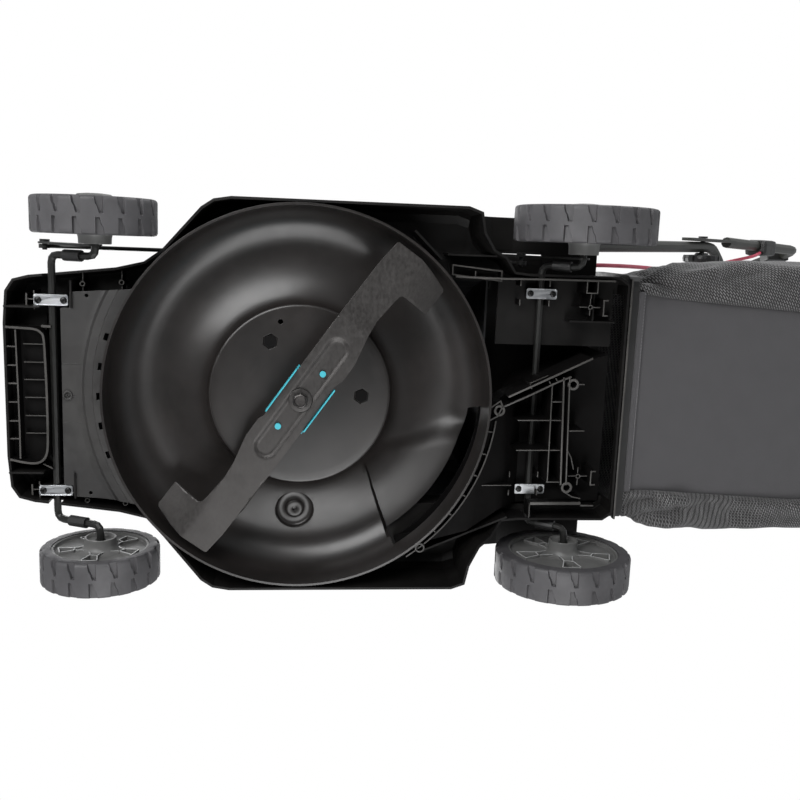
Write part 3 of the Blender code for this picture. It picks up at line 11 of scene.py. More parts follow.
import bmesh
import bpy
import numpy as np
from mathutils import Matrix, Vector, noise
from mathutils.geometry import delaunay_2d_cdt


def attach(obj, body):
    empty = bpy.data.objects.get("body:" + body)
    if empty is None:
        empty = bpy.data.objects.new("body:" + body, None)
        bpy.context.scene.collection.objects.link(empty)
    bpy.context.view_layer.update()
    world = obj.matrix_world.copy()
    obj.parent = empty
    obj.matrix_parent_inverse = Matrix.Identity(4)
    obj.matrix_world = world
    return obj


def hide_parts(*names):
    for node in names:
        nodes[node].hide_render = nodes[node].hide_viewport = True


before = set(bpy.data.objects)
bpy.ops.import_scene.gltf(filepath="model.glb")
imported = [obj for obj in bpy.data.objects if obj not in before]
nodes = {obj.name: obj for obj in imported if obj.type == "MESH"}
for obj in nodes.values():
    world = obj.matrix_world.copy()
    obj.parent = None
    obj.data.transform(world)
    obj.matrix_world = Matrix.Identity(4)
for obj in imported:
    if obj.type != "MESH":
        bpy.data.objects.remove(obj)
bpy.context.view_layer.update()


def link(thing):
    """Puts a new object into the scene."""
    bpy.context.scene.collection.objects.link(thing)
    return thing


# %% [markdown]
# ## The camera
# The photograph was taken from under the mower's front half, a little to its left, by a lens of
# ordinary length. The place and the two directions below were solved from the wheels, the axles and
# the blade's ring, so that each falls where the photograph has it.

# %% Camera
CAMERA_PLACE = (0.1908, -0.3456, -1.0249)
camera = link(bpy.data.objects.new("camera", bpy.data.cameras.new("camera")))
right = Vector((0.03782, 0.99359, -0.10657)).normalized()
forward = Vector((-0.17060, 0.11150, 0.97901)).normalized()
up = right.cross(forward).normalized()
right = forward.cross(up).normalized()
turn = Matrix((right, up, -forward)).transposed().to_4x4()
camera.matrix_world = Matrix.Translation(CAMERA_PLACE) @ turn
camera.data.lens = 41.03
camera.data.sensor_width = 36.0
camera.data.clip_start = 0.05
camera.data.clip_end = 60.0
bpy.context.scene.camera = camera
print("camera looks along", [round(v, 3) for v in forward])

# %% [markdown]
# ## Light and floor
# A studio lights a black machine with large soft boxes, because black plastic shows little more
# than what it mirrors. Two boxes stand below the mower, one before its nose on the left and one on
# its right. Another lights it from above and one from the left, for the views from the side. The
# floor is pale and plain, and fades into the white room far out. It is see-through from below, and
# neither shades nor mirrors the mower, as if it were a sheet of glass under a light table.

# %% Soft boxes, pale room and floor


def soft_box(name, place, target, width, height, watts):
    """A rectangular lamp at a place, turned to its target."""
    light = bpy.data.lights.new(name, "AREA")
    light.shape = "RECTANGLE"
    light.size = width
    light.size_y = height
    light.energy = watts
    lamp = link(bpy.data.objects.new(name, light))
    lamp.location = place
    aim = Vector(target) - Vector(place)
    lamp.rotation_euler = aim.to_track_quat("-Z", "Y").to_euler()
    lamp.visible_camera = False


soft_box("box_below_nose", (1.05, -1.05, -1.20), (0.0, -0.30, 0.1), 1.4, 1.0, 36)
soft_box("box_below_right", (-1.15, -0.20, -1.30), (0.0, -0.1, 0.1), 0.8, 1.5, 22)
soft_box("box_above", (-0.6, -1.0, 2.6), (0.0, 0.0, 0.3), 2.2, 2.2, 60)
soft_box("box_side", (2.4, 0.9, 1.3), (0.0, 0.0, 0.4), 1.6, 1.2, 26)

world = bpy.data.worlds.new("pale_room")
bpy.context.scene.world = world
world.use_nodes = True


def add(tree, kind, inputs=None, **settings):
    """Adds one node. An input takes a plain value, a node, or a (node, output name) pair."""
    node = tree.nodes.new(kind)
    for key, value in settings.items():
        setattr(node, key, value)
    for socket, value in (inputs or {}).items():
        if isinstance(value, bpy.types.Node):
            tree.links.new(value.outputs[0], node.inputs[socket])
        elif isinstance(value, tuple) and isinstance(value[0], bpy.types.Node):
            tree.links.new(value[0].outputs[value[1]], node.inputs[socket])
        else:
            node.inputs[socket].default_value = value
    return node


def linear(code):
    """An sRGB hex colour as linear light."""
    shares = [int(code[i:i + 2], 16) / 255 for i in (1, 3, 5)]
    return [s / 12.92 if s <= 0.04045 else ((s + 0.055) / 1.055) ** 2.4 for s in shares] + [1.0]


room = world.node_tree
room.nodes.clear()
seen = add(room, "ShaderNodeLightPath")
way = add(room, "ShaderNodeTexCoord")
height = add(room, "ShaderNodeSeparateXYZ", {"Vector": (way, "Generated")})
glow = add(room, "ShaderNodeMapRange", {"Value": (height, "Z"), "From Min": -0.95, "From Max": -0.35,
                                        "To Min": 0.10, "To Max": 0.66}, interpolation_type="SMOOTHSTEP")
lit = add(room, "ShaderNodeBackground", {"Color": linear("#f4f6f8"), "Strength": glow})
shown = add(room, "ShaderNodeBackground", {"Color": linear("#ffffff"), "Strength": 1.0})
either = add(room, "ShaderNodeMixShader", {0: (seen, "Is Camera Ray"), 1: lit, 2: shown})
add(room, "ShaderNodeOutputWorld", {"Surface": either})

FLOOR_HALF = 30
FLOOR_DROP = 0.0004
floor_mesh = bpy.data.meshes.new("floor")
floor_mesh.from_pydata([(x * FLOOR_HALF, y * FLOOR_HALF, 0) for x, y in ((-1, -1), (1, -1), (1, 1), (-1, 1))],
                       [], [(0, 1, 2, 3)])
floor = link(bpy.data.objects.new("floor", floor_mesh))
floor.location = (0, 0, -FLOOR_DROP)
pale = bpy.data.materials.new("pale_floor_paper")
pale.use_nodes = True
paper = pale.node_tree
paper.nodes.clear()
side_seen = add(paper, "ShaderNodeNewGeometry")
matt = add(paper, "ShaderNodeBsdfDiffuse", {"Color": linear("#e9e9e8"), "Roughness": 0.4})
far = add(paper, "ShaderNodeVectorMath", {0: (side_seen, "Position")}, operation="LENGTH")
fade = add(paper, "ShaderNodeMapRange", {"Value": (far, "Value"), "From Min": 1.2, "From Max": 4.0},
           interpolation_type="SMOOTHSTEP")
bright = add(paper, "ShaderNodeEmission", {"Color": linear("#ffffff"), "Strength": 1.0})
ground = add(paper, "ShaderNodeMixShader", {0: fade, 1: matt, 2: bright})
clear = add(paper, "ShaderNodeBsdfTransparent")
one_sided = add(paper, "ShaderNodeMixShader", {0: (side_seen, "Backfacing"), 1: ground, 2: clear})
add(paper, "ShaderNodeOutputMaterial", {"Surface": one_sided})
floor_mesh.materials.append(pale)
for kind in ("shadow", "glossy", "diffuse", "transmission"):
    setattr(floor, "visible_" + kind, False)
bpy.context.scene.view_settings.view_transform = "Standard"

# %% [markdown]
# ## Finishes
# Each finish starts from what the real one is. Moulded plastics get the fine grain that the mould's
# spark-eroded wall leaves, metals get the lines of the tool or the pickle of the plating, and cloth
# gets its threads. Patterns are placed by the object's own metres and sized in millimetres. The mould's
# grain and the weave's threads would be too fine to show, so they are drawn as coarse as they need to
# show.

# %% A finish's starting point


def finish(name, colour, roughness, metallic=0.0, **sockets):
    """A new material with its shader set: returns material, tree, shader and place in metres."""
    material = bpy.data.materials.new(name)
    material.use_nodes = True
    tree = material.node_tree
    shader = tree.nodes["Principled BSDF"]
    shader.inputs["Base Color"].default_value = linear(colour)
    shader.inputs["Roughness"].default_value = roughness
    shader.inputs["Metallic"].default_value = metallic
    for key, value in sockets.items():
        shader.inputs[key.replace("_", " ")].default_value = value
    place = add(tree, "ShaderNodeTexCoord")
    return material, tree, shader, (place, "Object")


def wire(tree, shader, share, dark, light, normal, dull=None):
    """Joins two colours by a share, a normal and, where it varies, a roughness to the shader."""
    colour = add(tree, "ShaderNodeMix", {0: share, 6: linear(dark), 7: linear(light)}, data_type="RGBA")
    tree.links.new(colour.outputs[2], shader.inputs["Base Color"])
    tree.links.new(normal.outputs[0], shader.inputs["Normal"])
    if dull is not None:
        tree.links.new(dull.outputs[0], shader.inputs["Roughness"])


def rounded_bump(tree, height, depth, edge_mm):
    """A bump laid over edges that are rounded by this many millimetres."""
    edges = add(tree, "ShaderNodeBevel", {"Radius": edge_mm / 1000.0}, samples=4)
    return add(tree, "ShaderNodeBump", {"Height": height, "Distance": depth, "Strength": 1.0,
                                        "Normal": edges})


# Sizes of the cloudy tone that the flowing plastic leaves, and of the patches that handling rubs dull
FLOW_CLOUD_MM, RUB_MM = 60, 14


def moulded(name, dark, light, roughness, grain_mm=0.9, grain_depth=0.00004, edge_mm=0.7, rub_share=1.0,
            **sockets):
    """Moulded plastic: mould grain, faint flow clouds, rounded edges."""
    material, tree, shader, place = finish(name, dark, roughness, **sockets)
    clouds = add(tree, "ShaderNodeTexNoise", {"Vector": place, "Scale": 1000 / FLOW_CLOUD_MM, "Detail": 4.0,
                                              "Roughness": 0.6})
    share = add(tree, "ShaderNodeMapRange", {"Value": clouds, "From Min": 0.35, "From Max": 0.65})
    rub = add(tree, "ShaderNodeTexNoise", {"Vector": place, "Scale": 1000 / RUB_MM, "Detail": 6.0,
                                           "Roughness": 0.7})
    dull = add(tree, "ShaderNodeMapRange", {"Value": rub, "From Min": 0.3, "From Max": 0.7,
                                            "To Min": roughness - 0.07 * rub_share,
                                            "To Max": roughness + 0.09 * rub_share})
    grain = add(tree, "ShaderNodeTexNoise", {"Vector": place, "Scale": 1000 / grain_mm, "Detail": 2.0,
                                             "Roughness": 0.6})
    wire(tree, shader, share, dark, light, rounded_bump(tree, grain, grain_depth, edge_mm), dull)
    return material


print("helpers ready")

# %% [markdown]
# ### Black polypropylene
# The deck and the chute are moulded in black polypropylene. It is never quite black: the light
# catches its mould grain, and grass dust leaves a warm grey veil. The blade's housing comes from a
# polished mould, so it mirrors the lamps softly, while the deck is duller.

# %% Black plastics
deck_plastic = moulded("moulded_black_polypropylene", "#0d0c0c", "#161514", 0.50, IOR=1.49,
                       Specular_IOR_Level=0.2)
chamber_plastic = moulded("polished_black_polypropylene", "#1b1918", "#242120", 0.31, 1.6, 0.000006, 0.8,
                          rub_share=0.35, IOR=1.49)
hood_plastic = moulded("moulded_charcoal_abs", "#232325", "#2c2c2e", 0.40, 0.8, 0.00003, 1.0, IOR=1.53)
fitting_plastic = moulded("black_glass_filled_nylon", "#161616", "#202020", 0.5, 0.7, 0.00004, 0.5, IOR=1.53)
cover_plastic = moulded("grey_moulded_abs", "#242323", "#302f2e", 0.42, 0.9, 0.00003, 0.6, IOR=1.53)
# A darker, duller copy of the deck's black polypropylene, laid as painted shade on surfaces deep inside the
# deck.
deep_plastic = moulded("black_polypropylene_inside", "#080707", "#0e0d0d", 0.62, 0.9, 0.00004, 0.6, IOR=1.49,
                       Specular_IOR_Level=0.1)
# A lighter grey copy of the same black polypropylene, laid on the ribs' lower edges as a painted highlight.
rib_plastic = moulded("black_polypropylene_ribs", "#343331", "#454341", 0.42, 0.8, 0.00002, 0.3, IOR=1.49)
print(deck_plastic.name, chamber_plastic.name)

# %% [markdown]
# ### Coloured plastics
# The wheel hubs are a mid grey polypropylene, the blade's carrier a bright teal nylon, and the key
# and the lock button a signal red. The treads are a softer grey, and the lead wears a pale red sheath.
# All have a silky face from a lightly etched mould.

# %% Hub, carrier, key, tread and sheath
hub_plastic = moulded("grey_polypropylene", "#555554", "#646463", 0.44, 0.8, 0.00003, 0.5, IOR=1.49)
teal_plastic = moulded("teal_nylon", "#2a98a8", "#3fabb9", 0.38, 0.8, 0.00002, 0.3, IOR=1.53)
red_plastic = moulded("red_abs", "#c42f3f", "#d23a4a", 0.36, 0.8, 0.00002, 0.3, IOR=1.53)
tread_plastic = moulded("grey_soft_tread", "#3b3a3c", "#4a494b", 0.55, 0.7, 0.00008, 0.7, IOR=1.5)
sheath = moulded("red_pvc_sheath", "#cf4560", "#e2617a", 0.38, 0.6, 0.00002, 0.3, IOR=1.53)
# A pale grey laid on the hub ribs' outer edges as a painted highlight; the ribs are moulded in the hub's own
# grey.
hub_rib_plastic = moulded("grey_polypropylene_ribs", "#a3a4a4", "#b6b7b7", 0.40, 0.8, 0.00002, 0.3, IOR=1.49)
print(hub_plastic.name, tread_plastic.name)

# %% [markdown]
# ### Metals
# The axles are bent from drawn steel rod with a thin black lacquer, the clamps are bright
# zinc-plated strip, and the blade is hardened steel with a dark bake finish, scratched along its
# length by grinding. Bare metal keeps metallic at 1 and gets its tone from the base colour. Lacquer,
# bake finish and powder coat lie over the metal, so theirs is lower.

# %% Steel, zinc and lacquer


TARNISH_MM = 25


def drawn_metal(name, dark, light, roughness, metallic, stretch, edge_mm=0.4, line_mm=0.5, depth=0.00002):
    """Metal with fine lines along one way: stretch gives how long they run along x, y and z."""
    material, tree, shader, place = finish(name, dark, roughness, metallic)
    lines_at = add(tree, "ShaderNodeMapping", {"Vector": place, "Scale": stretch})
    lines = add(tree, "ShaderNodeTexNoise", {"Vector": lines_at, "Scale": 1000 / line_mm, "Detail": 4.0,
                                             "Roughness": 0.6})
    clouds = add(tree, "ShaderNodeTexNoise", {"Vector": place, "Scale": 1000 / TARNISH_MM, "Detail": 5.0,
                                              "Roughness": 0.6})
    mixed = add(tree, "ShaderNodeMath", {0: lines, 1: clouds}, operation="MULTIPLY")
    share = add(tree, "ShaderNodeMapRange", {"Value": mixed, "From Min": 0.12, "From Max": 0.40})
    dull = add(tree, "ShaderNodeMapRange", {"Value": lines, "From Min": 0.3, "From Max": 0.7,
                                            "To Min": roughness - 0.08, "To Max": roughness + 0.10})
    wire(tree, shader, share, dark, light, rounded_bump(tree, lines, depth, edge_mm), dull)
    return material


EVEN = (1.0, 1.0, 1.0)
black_steel = drawn_metal("lacquered_steel_rod", "#1d1d1c", "#2a2a29", 0.36, 0.35, (0.05, 1.0, 1.0))
zinc_steel = drawn_metal("zinc_plated_steel", "#b9bcc0", "#dcdee0", 0.34, 1.0, (1.0, 0.1, 1.0),
                         0.4, 2.5, 0.000006)
blade_steel = drawn_metal("baked_blade_steel", "#343231", "#3f3d3c", 0.40, 0.50, (0.12, 0.20, 1.0),
                          0.5, 0.7, 0.000006)
tube_steel = drawn_metal("powder_coated_tube", "#2b2c28", "#383934", 0.48, 0.0, EVEN, 0.3, 0.9, 0.00005)
bolt_steel = drawn_metal("oiled_turned_steel", "#3c3a3a", "#4c4a49", 0.36, 1.0, EVEN, 0.2, 2.0, 0.000004)
dark_screw = drawn_metal("blackened_screw_steel", "#232323", "#383838", 0.32, 0.9, EVEN, 0.2, 1.0, 0.00001)
print(blade_steel.name)

# %% [markdown]
# ### Foam and cloth
# The handle wears a closed-cell foam sleeve. The bag's floor is a close plain weave with a
# waterproof back, and its sides are an open mesh through which the grass box breathes.

# %% Foam, woven cloth and mesh cloth
FOAM_CELL_MM = 1.1
CLOTH_TINT_MM, MESH_TINT_MM = 30, 22
foam, foam_tree, foam_shader, foam_place = finish("closed_cell_foam", "#1f1f1f", 0.92)
cells = add(foam_tree, "ShaderNodeTexVoronoi", {"Vector": foam_place, "Scale": 1000 / FOAM_CELL_MM})
foam_share = add(foam_tree, "ShaderNodeMapRange", {"Value": (cells, "Distance"), "From Min": 0.0,
                                                   "From Max": 0.6})
foam_bump = add(foam_tree, "ShaderNodeBump", {"Height": (cells, "Distance"), "Distance": 0.0003})
wire(foam_tree, foam_shader, foam_share, "#161616", "#2d2d2d", foam_bump)


def woven(name, dark, light, thread_mm, roughness):
    """Plain weave of threads this far apart, laid by the cloth's own flat metres."""
    material, tree, shader, _ = finish(name, dark, roughness, Sheen_Weight=0.25)
    flat = add(tree, "ShaderNodeUVMap", uv_map="flat")
    waves = []
    for way in ("X", "Y"):
        waves.append(add(tree, "ShaderNodeTexWave", {"Vector": flat, "Scale": 1000 * math.pi / 10 / thread_mm,
                                                     "Distortion": 0.6, "Detail": 1.0, "Detail Scale": 2.0},
                         bands_direction=way))
    check = add(tree, "ShaderNodeMath", {0: (waves[0], "Fac"), 1: (waves[1], "Fac")}, operation="MULTIPLY")
    tint = add(tree, "ShaderNodeTexNoise", {"Vector": flat, "Scale": 1000 / CLOTH_TINT_MM, "Detail": 4.0,
                                            "Roughness": 0.6})
    tinted = add(tree, "ShaderNodeMath", {0: check, 1: tint}, operation="MULTIPLY")
    share = add(tree, "ShaderNodeMapRange", {"Value": tinted, "From Min": 0.05, "From Max": 0.45})
    bump = add(tree, "ShaderNodeBump", {"Height": check, "Distance": thread_mm / 5000.0, "Strength": 0.8})
    wire(tree, shader, share, dark, light, bump)
    return material


panel_cloth = woven("coated_polyester_weave", "#3a393b", "#4a494b", 1.2, 0.85)
tape_cloth = woven("polyester_binding_tape", "#3a393b", "#4a494b", 1.0, 0.8)
thread = moulded("grey_polyester_thread", "#6d6c6e", "#858486", 0.7, 0.4, 0.00003, 0.1)


def knitted_mesh(name, dark, light, dash_mm, roughness):
    """Open knitted mesh: rows of short slanting bars of thread with dark gaps between them."""
    material, tree, shader, _ = finish(name, dark, roughness, Sheen_Weight=0.2)
    flat = add(tree, "ShaderNodeUVMap", uv_map="flat")
    slanted = add(tree, "ShaderNodeMapping", {"Vector": flat, "Rotation": (0.0, 0.0, 0.62)})
    bars = add(tree, "ShaderNodeTexBrick", {
        "Vector": slanted, "Color1": (1, 1, 1, 1), "Color2": (0.7, 0.7, 0.7, 1), "Mortar": (0, 0, 0, 1),
        "Scale": 1000.0 / dash_mm, "Mortar Size": 0.27, "Mortar Smooth": 0.6, "Brick Width": 1.25,
        "Row Height": 0.62})
    tint = add(tree, "ShaderNodeTexNoise", {"Vector": flat, "Scale": 1000 / MESH_TINT_MM, "Detail": 4.0,
                                            "Roughness": 0.6})
    worn = add(tree, "ShaderNodeMapRange", {"Value": tint, "From Min": 0.3, "From Max": 0.7, "To Min": 0.45})
    share = add(tree, "ShaderNodeMath", {0: (bars, "Color"), 1: worn}, operation="MULTIPLY")
    bump = add(tree, "ShaderNodeBump", {"Height": (bars, "Color"), "Distance": 0.0004, "Strength": 0.8})
    wire(tree, shader, share, dark, light, bump)
    return material


mesh_cloth = knitted_mesh("polyester_mesh", "#121111", "#8a898a", 4.7, 0.75)
print(panel_cloth.name, mesh_cloth.name)

# %% [markdown]
# ## Finishes onto the solids
# The solids keep their shapes, and each takes the finish that its slot in the record names. A few
# differ: the motor's flange, the handle's brackets and the height quadrant are lacquered black, and
# the sleeves on the cranks are black nylon.

# %% Dress the solids
FINISH_OF_SLOT = {
    "deck_plastic": deck_plastic, "cover_plastic": cover_plastic, "hood_plastic": hood_plastic,
    "black_plastic": fitting_plastic, "hub_plastic": hub_plastic, "teal_plastic": teal_plastic,
    "red_plastic": red_plastic, "tread_rubber": tread_plastic, "black_steel": black_steel,
    "zinc_steel": zinc_steel, "blade_steel": blade_steel, "tube_steel": tube_steel, "grip_foam": foam,
    "bag_fabric": panel_cloth, "bag_mesh_cloth": mesh_cloth, "cable_sheath": sheath,
}
for node_name, node in nodes.items():
    for place in node.material_slots:
        slot_name = place.material.name.split(".")[0]
        place.material = FINISH_OF_SLOT[slot_name]
nodes["motor_flange"].material_slots[0].material = black_steel
for label in ("front_left", "front_right", "rear_left", "rear_right"):
    nodes["crank_sleeve_" + label].material_slots[0].material = fitting_plastic
for node_name in ("handle_bracket_left", "handle_bracket_right", "height_quadrant"):
    nodes[node_name].material_slots[0].material = black_steel
print("dressed", len(nodes), "solids")

# %% [markdown]
# ## Helpers for the finer pieces
# The mower's own measures run left, back from the front axle and up. One function moves them into the
# frame of the solids. Most pieces are a loft, a row of rings joined by faces, so it gets a helper here.
# An open sheet becomes a wall by a modifier. Helpers for one kind of piece follow where they are needed.

# %% Points, rings and walls
BACK = -0.5805
AXIS_X, AXIS_Y = 0.0012, 0.238 + BACK


def at(x, y, z):
    """A point given from the front axle's middle, in the frame of the solids."""
    return Vector((x, y + BACK, z))


def around_axis(radius, degrees):
    """A flat point about the blade's axis: 90 degrees is straight back, 180 the mower's right."""
    angle = math.radians(degrees)
    return (AXIS_X + radius * math.cos(angle), AXIS_Y + radius * math.sin(angle))


def put(name, points, faces, material, body, stands_for=(), smooth=40, slot=None):
    """Links a new piece, gives it a finish and a body to ride on."""
    mesh = bpy.data.meshes.new(name)
    mesh.from_pydata([tuple(p) for p in points], [], faces)
    mesh.validate()
    mesh.shade_smooth()
    mesh.set_sharp_from_angle(angle=math.radians(smooth))
    mesh.materials.append(material)
    thing = link(bpy.data.objects.new(name, mesh))
    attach(thing, body)
    if stands_for:
        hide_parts(*stands_for)
    return thing


def bake(thing, smooth=None):
    """Turns a piece's modifiers into plain mesh."""
    old = thing.data
    ready = bpy.data.meshes.new_from_object(thing.evaluated_get(bpy.context.evaluated_depsgraph_get()))
    thing.modifiers.clear()
    thing.data = ready
    bpy.data.meshes.remove(old)
    ready.name = thing.name
    if smooth is not None:
        ready.shade_smooth()
        ready.set_sharp_from_angle(angle=math.radians(smooth))


def outward(thing):
    """Turns every face of a closed piece to look outwards."""
    bm = bmesh.new()
    bm.from_mesh(thing.data)
    bmesh.ops.recalc_face_normals(bm, faces=bm.faces)
    bm.to_mesh(thing.data)
    bm.free()
    return thing


def solid(*facts, **more):
    """Puts a closed piece whose faces all look outwards."""
    return outward(put(*facts, **more))


def face_down(thing, weld=0.0):
    """Turns an open sheet's faces to look at the ground, after joining points closer than weld."""
    bm = bmesh.new()
    bm.from_mesh(thing.data)
    if weld:
        bmesh.ops.remove_doubles(bm, verts=bm.verts, dist=weld)
    bmesh.ops.recalc_face_normals(bm, faces=bm.faces)
    if sum(face.normal.z for face in bm.faces) > 0:
        bmesh.ops.reverse_faces(bm, faces=bm.faces)
    bm.to_mesh(thing.data)
    bm.free()


def thicken(thing, thickness, smooth=None):
    """Makes a wall of a sheet, behind the side that shows."""
    wall = thing.modifiers.new("wall", "SOLIDIFY")
    wall.thickness = thickness
    wall.offset = -1.0
    bake(thing, smooth)


def merge(several):
    """One list of points and one of faces from several."""
    points = []
    faces = []
    for more_points, more_faces in several:
        faces += [tuple(i + len(points) for i in face) for face in more_faces]
        points += list(more_points)
    return points, faces


def loft(rings, caps=(False, False)):
    """Points and faces of closed rings that follow each other."""
    count = len(rings[0])
    points = [p for ring in rings for p in ring]
    faces = []
    for a in range(len(rings) - 1):
        for i in range(count):
            j = (i + 1) % count
            faces.append((a * count + i, a * count + j, (a + 1) * count + j, (a + 1) * count + i))
    if caps[0]:
        faces.append(tuple(reversed(range(count))))
    if caps[1]:
        faces.append(tuple((len(rings) - 1) * count + i for i in range(count)))
    return points, faces


def between(table, key):
    """Reads a value from rows of (key, value), straight between them."""
    return float(np.interp(key, [row[0] for row in table], [row[1] for row in table]))


def ease(share):
    """A share that starts and ends gently."""
    share = min(max(share, 0.0), 1.0)
    return share * share * (3 - 2 * share)


print("axis of the blade at", (AXIS_X, AXIS_Y))

# %% [markdown]
# ## The cutting chamber
# The blade turns in a round housing, moulded in one piece: a flat seat for the motor in the middle, a
# cone that climbs from the seat, a roof that rolls over into the outer wall, and on the mower's right a
# ramp that leads the cut grass to the bag. It could be turned like a bowl, but the ramp breaks the
# symmetry. So it is built as a round grid whose columns bend to follow the ramp's two edges, and the
# height is then a plain table of radius against height, with a second table inside the ramp.

# %% Chamber: tables of the turned shape
ROOF = [(0.0180, 0.0860), (0.0600, 0.0860), (0.0980, 0.0860), (0.1075, 0.0860), (0.1093, 0.0862),
        (0.1106, 0.0869), (0.1115, 0.0882), (0.1119, 0.0900), (0.1140, 0.0935), (0.1180, 0.0970),
        (0.1240, 0.1007), (0.1330, 0.1046), (0.1440, 0.1080), (0.1560, 0.1103), (0.1680, 0.1116),
        (0.1800, 0.1118), (0.1900, 0.1108), (0.1985, 0.1085), (0.2060, 0.1048), (0.2125, 0.0998),
        (0.2180, 0.0940), (0.2225, 0.0870), (0.2252, 0.0800), (0.2266, 0.0700), (0.2272, 0.0560),
        (0.2275, 0.0424)]
RAMP = [(0.0180, 0.0860), (0.1119, 0.0860), (0.1140, 0.0940), (0.1240, 0.1035), (0.1330, 0.1095),
        (0.1440, 0.1145), (0.1560, 0.1175), (0.1680, 0.1190), (0.1800, 0.1195), (0.2300, 0.1195)]
SEAM = [(0.1119, 135.5), (0.1235, 137.0), (0.157, 142.4), (0.183, 145.0), (0.2125, 147.0), (0.2276, 147.5)]
VALLEY = [(0.1119, 121.0), (0.1235, 116.0), (0.150, 107.9), (0.184, 98.9), (0.2125, 94.0), (0.2276, 92.0)]
RAMP_COLUMNS = 26
ALL_COLUMNS = 168
SEAM_WIDTH = 1.1
SEAT_EDGE = 0.1125
RISE_DEGREES = 13.0
WINDOW_RADIUS = 0.2125
WINDOW_LIP = 0.0800
CHAMBER_WALL = 0.0028


def column_angle(radius, column):
    """Degrees of a grid column: the first few fill the ramp, the rest go round to it again."""
    valley = between(VALLEY, radius)
    seam = between(SEAM, radius)
    if column <= RAMP_COLUMNS:
        return valley + (seam - valley) * column / RAMP_COLUMNS
    share = (column - RAMP_COLUMNS - 1) / (ALL_COLUMNS - RAMP_COLUMNS - 1)
    return seam + SEAM_WIDTH + (valley + 360 - seam - SEAM_WIDTH) * share


def chamber_height(radius, column):
    """Height of the underside."""
    height = between(ROOF, radius)
    if column > RAMP_COLUMNS or not SEAT_EDGE <= radius <= WINDOW_RADIUS:
        return height
    turned = column_angle(radius, column) - between(VALLEY, radius)
    return height + (between(RAMP, radius) - height) * ease(turned / RISE_DEGREES)


chamber_points = []
for radius, _ in ROOF:
    for column in range(ALL_COLUMNS):
        flat_spot = around_axis(radius, column_angle(radius, column))
        chamber_points.append((*flat_spot, chamber_height(radius, column)))
chamber_faces = []
for row, ((inner, _), (outer, outer_height)) in enumerate(zip(ROOF, ROOF[1:])):
    for column in range(ALL_COLUMNS):
        if column < RAMP_COLUMNS and inner >= WINDOW_RADIUS and outer_height >= WINDOW_LIP:
            continue
        after = (column + 1) % ALL_COLUMNS
        chamber_faces.append((row * ALL_COLUMNS + column, (row + 1) * ALL_COLUMNS + column,
                              (row + 1) * ALL_COLUMNS + after, row * ALL_COLUMNS + after))
chamber = put("chamber_moulding", chamber_points, chamber_faces, chamber_plastic, "deck",
              ["cutting_chamber"], 38)
face_down(chamber)
thicken(chamber, CHAMBER_WALL)
print("chamber faces:", len(chamber.data.polygons))

# %% [markdown]
# ### Pockets, hole and cup in the chamber
# The heads of the motor's three bolts nearly fill hexagonal pockets in the seat, and take the
# painted-shade black so that the pockets look dark. A small round hole pierces the seat beside them,
# and a shallow cup with a boss stands in the roof. Pockets are cut with a solid that has the pocket's
# shape, because a cut leaves the crisp edge that a moulding has. The cup is a profile turned about an
# axis, and a prism is the same with only a few sides.

# %% Rings of turned pieces


def circle(radius, count, start=0.0):
    """Flat points of a circle about nought."""
    angles = [start + 2 * math.pi * i / count for i in range(count)]
    return [(radius * math.cos(angle), radius * math.sin(angle)) for angle in angles]


def lathe(profile, count, place, start=0.0):
    """Rings of a turned shape from (radius, height) rows; place(x, y, height) sets each point down."""
    return [[place(x, y, height) for x, y in circle(radius, count, start)] for radius, height in profile]


def upright(x, y):
    """A place for lathe: about an upright axis here."""
    return lambda u, v, z: Vector((x + u, y + v, z))


print("a ring of six has", len(circle(1.0, 6)), "points")

# %% Cut the pockets, turn the cup


def prism(x, y, low, high, radius, sides, turned=0.0, top=None):
    """An upright prism, or a cone when it has its own top radius."""
    return loft(lathe([(radius, low), (top or radius, high)], sides, upright(x, y), turned), (True, True))


def carve(thing, cutters, smooth=38):
    """Cuts a list of (points, faces) out of a piece."""
    points, faces = merge(cutters)
    mesh = bpy.data.meshes.new("cutter")
    mesh.from_pydata([tuple(p) for p in points], [], faces)
    tool = outward(link(bpy.data.objects.new("cutter", mesh)))
    carving = thing.modifiers.new("carve", "BOOLEAN")
    carving.solver = "EXACT"
    carving.object = tool
    carving.operation = "DIFFERENCE"
    bake(thing, smooth)
    bpy.data.objects.remove(tool)
    bpy.data.meshes.remove(mesh)


CUP_X, CUP_Y = -0.1513, 0.2334 + BACK
BOLT_CIRCLE = 0.075
HEXAGON_LEAN = 0.1
POCKET, POCKET_FLOOR = 0.0090, 0.0880
pockets = []
bolt_heads = []
for degrees in (-30.0, 90.0, 210.0):
    spot_x, spot_y = around_axis(BOLT_CIRCLE, degrees)
    pockets.append(prism(spot_x, spot_y, 0.0848, 0.0874, 0.0108, 6, HEXAGON_LEAN, POCKET))
    pockets.append(prism(spot_x, spot_y, 0.0872, POCKET_FLOOR, POCKET, 6, HEXAGON_LEAN))
    bolt_heads.append(prism(spot_x, spot_y, 0.0857, POCKET_FLOOR, 0.0082, 6, HEXAGON_LEAN))
hole = at(0.0906, 0.2126, 0)
pockets.append(prism(hole.x, hole.y, 0.08, 0.095, 0.0031, 20))
pockets.append(prism(CUP_X, CUP_Y, 0.100, 0.130, 0.0245, 40))
carve(chamber, pockets)
# The bolt heads take the painted-shade black, which darkens the pockets.
solid("seat_bolt_heads", *merge(bolt_heads), deep_plastic, "deck", smooth=30)

